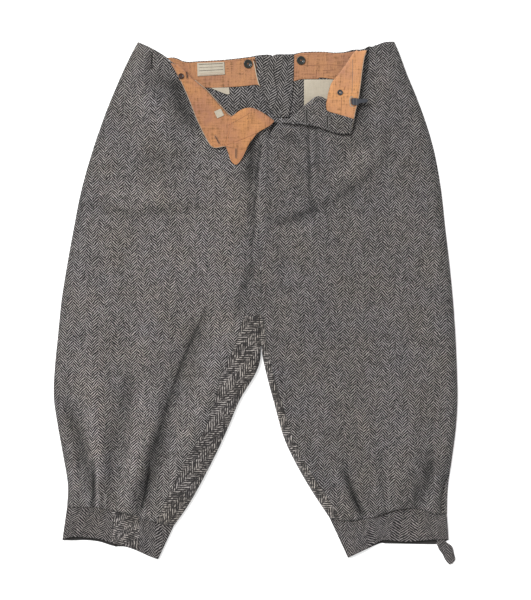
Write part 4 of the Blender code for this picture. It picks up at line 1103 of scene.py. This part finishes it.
underlap = {
    "top": ((293.5, -289), (284, -312), (288, -336)),
    "bottom": ((300, -296), (300.5, -336)),
    "low": 2.25, "wall": 1.0,
}
obj = addCloth("sideUnderlap", loftBetween(underlap, 30, 14), underlap["wall"], paint["band"], flip=True)
finishPiece(obj, "underlap")


# a small piece that follows the surface below it
def addPatch(name, centre, size, turn, tree, thickness, paintOf, arch=0.0):
    turn = math.radians(turn)
    s, t = np.meshgrid(np.linspace(-0.5, 0.5, 14), np.linspace(-0.5, 0.5, 22))
    x = centre[0] + size[0] * s * math.cos(turn) - size[1] * t * math.sin(turn)
    y = centre[1] + size[0] * s * math.sin(turn) + size[1] * t * math.cos(turn)
    z = np.array([[dropOn(tree, *p)[0] for p in zip(*pair)] for pair in zip(x, y)])
    z = z + cloth["seamGap"] + 0.1 + thickness + arch * (1 - 4 * t * t)
    return addCloth(name, np.dstack([x, y, z]), thickness, paintOf)


tab = addPatch("cottonTab", (-58.0, 302.0), (12.0, 12.0), 25.0, trees["rightFacing"], 0.8, paint["ivory"])
finishPiece(tab, "laundry_tab")
loop = addPatch("beltLoop", (-170.5, 386.0), (8.0, 26.0), 3.0, trees["right"], 1.5, paint["band"], 1.2)
finishPiece(loop, "belt_loop")

print("thread, buttons and hook")
flapOn = ("rightFacing", "rightStrip", "tongue")
stripOn = ("leftFacing", "leftStrip")
waistOn = ("backFacingRight", "backFacingLeft", "seamTurningRight", "seamTurningLeft", "pocketBagLeft")
forkOn = ("right", "left", "stripRight", "stripLeft")
# surfaces that thread may lie on, by the piece that carries it
carriers = {
    **{name: name for name in (*waistOn, "plainLabel")},
    "bandRight": "kneeBandRight", "bandLeft": "kneeBandLeft", "loop": "beltLoop",
    "stripRight": "backClothRight", "stripLeft": "backClothLeft",
}
trees.update({key: surfaceOf(bpy.data.objects[name]) for key, name in carriers.items()})
threadWork = {"sides": 6, "step": 1.4}


# round thread along runs of points; flat points are dropped on the named surfaces
def addThread(name, runs, radius, paintOf, on=(), lift=0.5):
    verts, faces = [], []
    surfaces = [trees[key] for key in on]
    around = threadWork["sides"]
    ring = np.linspace(0, math.tau, around, endpoint=False)
    for run in runs:
        run = np.asarray(run, float)
        length = np.linalg.norm(np.diff(run[:, :2], axis=0), axis=1)
        total = max(length.sum(), 0.1)
        steps = np.linspace(0, total, max(3, int(total / threadWork["step"]) + 2))
        marks = np.concatenate([[0], np.cumsum(length)])
        points = np.column_stack([np.interp(steps, marks, part) for part in run.T])
        if points.shape[1] == 2:
            z = [max(dropOn(surfaces, *p)[0] + radius * lift, radius) for p in points]
            points = np.column_stack([points, z])
        ahead = np.gradient(points, axis=0)
        ahead /= np.maximum(np.linalg.norm(ahead, axis=1, keepdims=True), 1e-6)
        side = np.cross(ahead, (0, 0, 1.0))
        side /= np.maximum(np.linalg.norm(side, axis=1, keepdims=True), 1e-6)
        rise = np.cross(side, ahead)
        size = np.full(len(points), radius)
        size[[0, -1]] *= 0.5
        base = sum(len(v) for v in verts)
        tube = points[:, None] + size[:, None, None] * (
            side[:, None] * np.cos(ring)[None, :, None] + rise[:, None] * np.sin(ring)[None, :, None]
        )
        verts.append(tube.reshape(-1, 3))
        faces += ringFaces(len(points), around, base)
        faces.append(tuple(range(base, base + around))[::-1])
        last = base + (len(points) - 1) * around
        faces.append(tuple(range(last, last + around)))
    finishPiece(addMesh(name, placed(np.vstack(verts)), faces, paintOf))


# a path cut into stitches
def stitched(path, on, off):
    path = np.asarray(path, float)
    length = np.concatenate([[0], np.cumsum(np.linalg.norm(np.diff(path[:, :2], axis=0), axis=1))])
    runs = []
    start = 0.0
    while start + on < length[-1]:
        marks = np.linspace(start, start + on, 3)
        runs.append(np.column_stack([np.interp(marks, length, part) for part in path.T]))
        start += on + off
    return runs


# picture points, counted from its upper left corner, as mm on the table
pictureScale = {"mmPerPoint": 1.6, "x": 255.5, "y": 302.5}


def fromShot(*points):
    size = pictureScale["mmPerPoint"]
    return [((x - pictureScale["x"]) * size, (pictureScale["y"] - y) * size) for x, y in points]


# a path moved to its left
def offsetPath(path, distance):
    path = np.asarray(path, float)
    ahead = np.gradient(path[:, :2], axis=0)
    ahead /= np.linalg.norm(ahead, axis=1, keepdims=True)
    moved = path.copy()
    moved[:, 0] -= ahead[:, 1] * distance
    moved[:, 1] += ahead[:, 0] * distance
    return moved


# worked buttonholes: two ends in picture points, half width of the slit, surfaces, paint of the rim
buttonholes = {
    "facingButtonhole": ((215.3, 136.3), (219.7, 144.3), 0.75, flapOn, "tanThread"),
    "tongueKeyhole": ((236.1, 149.3), (236.1, 157.8), 0.65, flapOn, "tanThread"),
    "stripButtonholeUpper": ((306.5, 111.0), (306.9, 124.5), 1.15, stripOn, "greyThread"),
    "stripButtonholeLower": ((327.2, 116.5), (327.2, 128.0), 1.15, stripOn, "greyThread"),
    "waistSlit": ((186.4, 72.0), (187.7, 78.5), 0.9, ("rightFacing", "backFacingRight"), "seamThread"),
}
rimWork = {"beyond": 0.75, "radius": 0.42, "lift": 0.4, "slitLift": -0.3}
for name, (one, two, wide, on, rim) in buttonholes.items():
    ends = np.array(fromShot(one, two))
    ahead = (ends[1] - ends[0]) / np.linalg.norm(ends[1] - ends[0])
    aside = np.array([-ahead[1], ahead[0]])
    reach = wide + rimWork["beyond"]
    turns = np.linspace(-math.pi / 2, math.pi / 2, 7)
    around = [reach * (math.cos(a) * ahead + math.sin(a) * aside) for a in turns]
    far = [ends[1] + out for out in around]
    near = [ends[0] - out for out in around]
    addThread(name + "Rim", [[*far, *near, far[0]]], rimWork["radius"], paint[rim], on, rimWork["lift"])
    addThread(name, [ends], wide, paint["darkThread"], on, rimWork["slitLift"])

rightRows, rightStripRows = flapGrids["right"]
leftRows, leftStripRows = flapGrids["left"]
raised = np.array((0.0, 0.0, 0.25))
outward = rightRows[0] - rightRows[2]
outward[:, 2] = 0.0
outward /= np.linalg.norm(outward, axis=1, keepdims=True)
shown = rightRows[0][:, 0] > -100.0
foldEdge = (rightRows[0] + outward * 0.9)[shown][:-2]
join = (rightStripRows[1:-1, 0] + rightRows[1:-1, -1]) / 2 - raised
tabs = [fromShot((112.6, 543.6), (116.6, 545.2)), fromShot((112.6, 545.2), (116.4, 546.8))]
# thread along edges that the pieces already have: runs, radius, paint
edgeThreads = {
    "facingEdgeRight": ([rightRows[-1] + raised, rightStripRows[-1][:30] + raised], 0.55, "piping"),
    "foldEdgeRight": ([foldEdge], 0.65, "piping"),
    "bearerJoin": ([join], 0.75, "tan"),
    "hemTab": ([[(*p, 2.6) for p in run] for run in tabs], 1.3, "darkThread"),
    "facingEdgeLeft": ([leftRows[-1] + raised], 0.6, "piping"),
    "frayedStripEdge": (stitched(leftStripRows[-1][2:30] + raised, 1.6, 1.5), 0.5, "creamThread"),
    "frayedStripFold": (stitched(leftStripRows[3][6:20] + raised, 1.6, 1.8), 0.45, "creamThread"),
    "facingStitchRight": (stitched(rightRows[-3][2:] + raised * 0.4, 2.2, 0.9), 0.22, "seamThread"),
    "facingStitchLeft": (stitched(leftRows[-3][2:] + raised * 0.4, 2.2, 0.9), 0.22, "seamThread"),
    "bearerStitch": (stitched(rightStripRows[-3][2:-2] + raised * 0.4, 2.2, 0.9), 0.22, "seamThread"),
}
for name, (runs, radius, paintName) in edgeThreads.items():
    addThread(name, runs, radius, paint[paintName])

# seams, creases, marks and painted shadow lines: runs in picture points, radius, paint, surfaces, lift
drawnThreads = {
    "keyholeEye": ([((235.6, 158.0), (236.6, 158.4))], 1.2, "darkThread", flapOn, -0.5),
    "bearerSeams": (
        [((228.0, 125.6), (240.0, 119.2), (250.4, 113.0)), ((227.0, 145.4), (245.0, 138.4), (262.5, 131.0))],
        0.28, "seamThread", flapOn, 0.2,
    ),
    "bearerDot": ([((247.0, 119.0), (247.7, 119.2))], 0.8, "brownThread", flapOn, 0.2),
    "facingCreases": (
        [((343.7, 91.0), (345.0, 86.6)), ((341.5, 97.5), (341.2, 106.0), (340.5, 115.5))],
        0.4, "seamThread", stripOn, 0.1,
    ),
    "facingSeam": ([((352.5, 60.0), (352.2, 78.0), (351.8, 94.0))], 0.3, "greyThread", stripOn, 0.0),
    "backSeams": (
        [
            ((304, 65.2), (328, 64.3), (345, 65)), ((317.7, 66.5), (315.6, 78)),
            ((323, 70), (336, 69.4)), ((304, 73.4), (316, 73.6)),
        ],
        0.36, "seamThread", waistOn + stripOn, 0.15,
    ),
    "waistTape": (
        [((253.4, 60.5), (254.8, 66.0), (256.4, 74.0), (258.2, 81.5), (260.3, 87.5))],
        0.75, "ivory", waistOn, 0.2,
    ),
    "pocketLine": ([((302.6, 79.5), (302.4, 94.0), (302.2, 108.5))], 0.8, "darkThread", waistOn, 0.1),
    "threadTack": (
        [((253.2, 58.2), (254.6, 60.6), (255.6, 58.4)), ((253.4, 60.4), (255.6, 58.9))],
        0.8, "brownThread", waistOn, 0.3,
    ),
    "stripFoldLine": ([((312.5, 101.6), (318.0, 100.4), (324.6, 102.2))], 0.6, "darkThread", stripOn, -0.2),
    # dark lines along the loop's right edge, painted shadow, and along its top
    "beltLoopEdge": (
        [((152.4, 51.8), (152.0, 60.0), (151.6, 68.2)), ((147.2, 53.0), (150.3, 51.4))],
        0.7, "darkThread", ("right", "loop"), 0.1,
    ),
    "waistNub": ([((374.9, 45.2), (376.4, 44.4))], 1.0, "darkThread", ("left",), 0.2),
}
for name, (runs, radius, paintName, on, lift) in drawnThreads.items():
    addThread(name, [fromShot(*run) for run in runs], radius, paint[paintName], on, lift)
tape = np.array(fromShot(*drawnThreads["waistTape"][0][0]))
addThread("waistTapeShade", [tape + (1.7, -0.2)], 0.8, paint["darkThread"], waistOn, -0.1)
# a dark thread along the edge at the fork: painted shade
addThread("forkSeam", [[(4.9, 10.0), (6.2, -33.0), (8.2, -70.0)]], 0.9, paint["darkThread"], forkOn, -0.1)

backStitch = {side: offsetPath(waistPieces["backFacing" + side]["top"], -2.6) for side in ("Right", "Left")}
centre = fromShot((274.4, 60.0), (274.3, 73.0), (276.2, 85.0), (279.0, 97.0))
spots = fromShot((137.6, 43.5), (150.0, 48.6), (165.0, 57.0))
# rows of stitches: path, stitch, gap, radius, paint, surfaces, lift
stitchRows = {
    "tongueStitch": (offsetPath(tongue["bottom"], 2.2)[1:-1], 1.9, 0.9, 0.22, "seamThread", flapOn, 0.3),
    "backStitchRight": (backStitch["Right"][1:-1], 2.2, 0.9, 0.24, "seamThread", waistOn, 0.5),
    "backStitchLeft": (backStitch["Left"][:4], 2.2, 0.9, 0.24, "seamThread", waistOn, 0.5),
    "centreSeam": (centre, 2.0, 1.0, 0.4, "darkThread", waistOn, 0.0),
    "waistSpots": (spots, 1.4, 4.2, 0.55, "darkThread", ("right",), 0.0),
}
# stitching on the knee bands, above the hem and below the seam, and round the strap's end
for side in legs:
    inside = legs[side]["sign"]
    hemPath = offsetPath(np.array(legs[side]["hem"])[:, :2], bandShape["hemStitch"] * inside)
    seamPath = offsetPath(legs[side]["seam"], -bandShape["seamStitch"] * inside)
    for tag, path in (("Hem", hemPath), ("Top", seamPath)):
        on = ("band" + side.title(),)
        stitchRows["band" + tag + side.title()] = (path[1:-1], 2.4, 1.1, 0.26, "darkThread", on, 0.1)
strapInset = 0.14
strapPlan = np.array(strapRows)[:-1]
strapLeft, strapRight = strapPlan[:, 0:2], strapPlan[:, 2:4]
strapPath = np.vstack([
    strapLeft + (strapRight - strapLeft) * strapInset,
    (strapRight + (strapLeft - strapRight) * strapInset)[::-1],
])
stitchRows["strapStitch"] = (strapPath, 2.2, 1.0, 0.24, "darkThread", ("strap",), 0.2)
for name, (path, stitch, gap, radius, paintName, on, lift) in stitchRows.items():
    addThread(name, stitched(path, stitch, gap), radius, paint[paintName], on, lift)

# plain lines woven in the label: share of the way down, paint, radius
labelRows = (
    (0.12, "darkThread", 0.5), (0.36, "brownThread", 0.32), (0.6, "darkThread", 0.45), (0.8, "piping", 0.35),
    (0.93, "seamThread", 0.3),
)
topLine, footLine = np.array(waistPieces["plainLabel"]["top"]), np.array(waistPieces["plainLabel"]["bottom"])
for number, (share, paintName, radius) in enumerate(labelRows):
    line = topLine + (footLine - topLine) * share
    inset = (line[1] - line[0]) * 0.05
    ends = [line[0] + inset, line[1] - inset]
    addThread("labelLine%d" % (number + 1), [ends], radius, paint[paintName], ("plainLabel",), -0.3)

# turned buttons: radius and height of each ring of the profile, in shares of the radius
buttonProfile = (
    (0, 0.10), (0.42, 0.10), (0.6, 0.15), (0.72, 0.27), (0.82, 0.34), (0.92, 0.33), (1, 0.24), (1, 0.08),
    (0.92, 0), (0, 0),
)
# shares of the radius: depth of the dished middle, reach and size of the holes, size of the thread
buttonWork = {"around": 48, "gap": 0.3, "dish": 0.10, "holeReach": 0.27, "hole": 0.1, "thread": 0.06}
buttons = {
    "brace_button_right": ("braceButtonRight", "horn", "backFacingRight", "horn_dark"),
    "brace_button_left": ("braceButtonLeft", "horn", "backFacingLeft", "horn_dark"),
    "small_button": ("smallButton", "brownHorn", "rightFacing", "horn_brown"),
    "bearer_button": ("bearerButton", "steel", "leftFacing", "steel"),
}
for node, (name, paintName, on, slot) in buttons.items():
    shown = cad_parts[node]
    outline = np.array([shown.matrix_world @ v.co for v in shown.data.vertices]) / mm
    centreAt = (outline.min(axis=0) + outline.max(axis=0)) / 2
    radius = (outline[:, 0].max() - outline[:, 0].min()) / 2
    height, normal = dropOn(trees[on], centreAt[0], centreAt[1] + centreY)
    up = np.array(normal)
    right = np.cross((0, 1.0, 0), up)
    right /= np.linalg.norm(right)
    fore = np.cross(up, right)
    base = np.array((centreAt[0], centreAt[1] + centreY, height + buttonWork["gap"]))
    around = buttonWork["around"]
    spin = np.linspace(0, math.tau, around, endpoint=False)
    spokes = [math.cos(a) * right + math.sin(a) * fore for a in spin]
    verts = [base + radius * (r * spoke + h * up) for r, h in buttonProfile for spoke in spokes]
    faces = ringFaces(len(buttonProfile), around)
    finishPiece(addMesh(name, placed(verts), faces, paint[paintName]), node)
    if name == "bearerButton":
        bar = [base + radius * (0.14 * up + reach * right) for reach in (-0.3, 0.3)]
        addThread(name + "Centre", [bar], 1.3, paint["piping"])
        continue
    dished = base + radius * buttonWork["dish"] * up
    outs = [buttonWork["holeReach"] * radius * spokes[k] for k in (6, 18, 30, 42)]
    holes = [[dished + out - 0.1 * right, dished + out + 0.1 * right] for out in outs]
    threads = [[dished + out + 0.3 * up, dished - out + 0.3 * up] for out in outs[:2]]
    addThread(name + "Holes", holes, buttonWork["hole"] * radius, paint["darkThread"])
    addThread(name + "Thread", threads, buttonWork["thread"] * radius, paint["seamThread"])


# flat metal: an outline in x y with a bevelled upper edge
def addPlate(name, outline, low, thickness, paintOf, bevel=0.35):
    outline = np.asarray(outline, float)
    middle = outline.mean(axis=0)
    inner = outline + (middle - outline) / np.linalg.norm(middle - outline, axis=1, keepdims=True) * bevel
    n = len(outline)
    levels = ((outline, low), (outline, low + thickness - bevel), (inner, low + thickness))
    verts = np.vstack([np.column_stack([ring, np.full(n, z)]) for ring, z in levels])
    faces = ringFaces(len(levels), n) + [tuple(range(n))[::-1], tuple(range(2 * n, 3 * n))]
    return addMesh(name, placed(verts), faces, paintOf, smooth=False)


# the hook: a plate sewn to the facing's edge, with its bill reaching past the edge
hookOutline = (
    (350.6, 99.6), (351.6, 98.7), (356, 98.9), (359, 99.7), (363, 99.2), (366.6, 99.6), (367.6, 101.2),
    (366.8, 103), (363, 103.6), (359.6, 103.8), (357.5, 105.9), (353, 106), (351, 105),
)
hookSize = {"gap": 0.35, "thickness": 1.5}
hookPlan = fromShot(*hookOutline)[::-1]
hookLow = max(dropOn(trees["leftFacing"], *p)[0] for p in hookPlan) + hookSize["gap"]
hook = addPlate("trouserHook", hookPlan, hookLow, hookSize["thickness"], paint["steel"])
finishPiece(hook, "trouser_hook")
bindings = [
    fromShot((349.9, 97.9), (349.6, 102.0), (350.2, 106.4), (353.5, 107.3)),
    fromShot((349.9, 97.9), (353.0, 97.5)),
]
addThread("hookBinding", bindings, 0.75, paint["creamThread"], ("leftFacing",), 0.2)
overHook = hookLow + hookSize["thickness"] + 0.1
bars = [fromShot((353.0, 98.4), (353.4, 106.4)), fromShot((356.2, 98.6), (356.4, 106.2))]
addThread("hookThread", [[(*p, overHook) for p in bar] for bar in bars], 0.4, paint["greyThread"])

print("floor, light and camera")
stageSetup = {
    "floorHalf": 30.0, "floorZ": -0.0004, "floorGlow": 0.45, "sky": 0.5, "keyPower": 2.5, "keySoftness": 20.0,
    "keyHeight": 56.0, "keyFrom": 140.0,
}
shot = {"x": 0.0160, "y": 0.0055, "height": 3.2, "seen": 0.960}
half, floorZ = stageSetup["floorHalf"], stageSetup["floorZ"]
corners = np.array([(x * half, y * half, floorZ) for x, y in ((-1, -1), (1, -1), (1, 1), (-1, 1))])
floorColour = (0.93, 0.93, 0.93)
floorWorn = (0.91, 0.91, 0.91)
floorPaint = solidPaint("floorPaint", floorColour, 0.9, marks=2.0, depth=0.00001, second=floorWorn)
floorShader = floorPaint.node_tree.nodes["Principled BSDF"]
floorShader.inputs["Emission Color"].default_value = (1, 1, 1, 1)
floorShader.inputs["Emission Strength"].default_value = stageSetup["floorGlow"]
floor = addMesh("sceneFloor", corners, [(0, 1, 2, 3)], floorPaint)
world = bpy.data.worlds.new("studio")
world.use_nodes = True
world.node_tree.nodes["Background"].inputs[0].default_value = (1, 1, 1, 1)
world.node_tree.nodes["Background"].inputs[1].default_value = stageSetup["sky"]
bpy.context.scene.world = world
bpy.context.scene.view_settings.view_transform = "Standard"
keyData = bpy.data.lights.new("keyLight", "SUN")
keyData.energy = stageSetup["keyPower"]
keyData.angle = math.radians(stageSetup["keySoftness"])
key = bpy.data.objects.new("keyLight", keyData)
tilt = math.radians(90.0 - stageSetup["keyHeight"])
key.rotation_euler = (0.0, tilt, math.radians(stageSetup["keyFrom"]))
bpy.context.scene.collection.objects.link(key)
cameraData = bpy.data.cameras.new("shotCamera")
cameraData.lens = 36.0 * (shot["height"] - 0.01) / shot["seen"]
camera = bpy.data.objects.new("shotCamera", cameraData)
camera.location = (shot["x"], shot["y"], shot["height"])
bpy.context.scene.collection.objects.link(camera)
bpy.context.scene.camera = camera

bpy.context.view_layer.update()
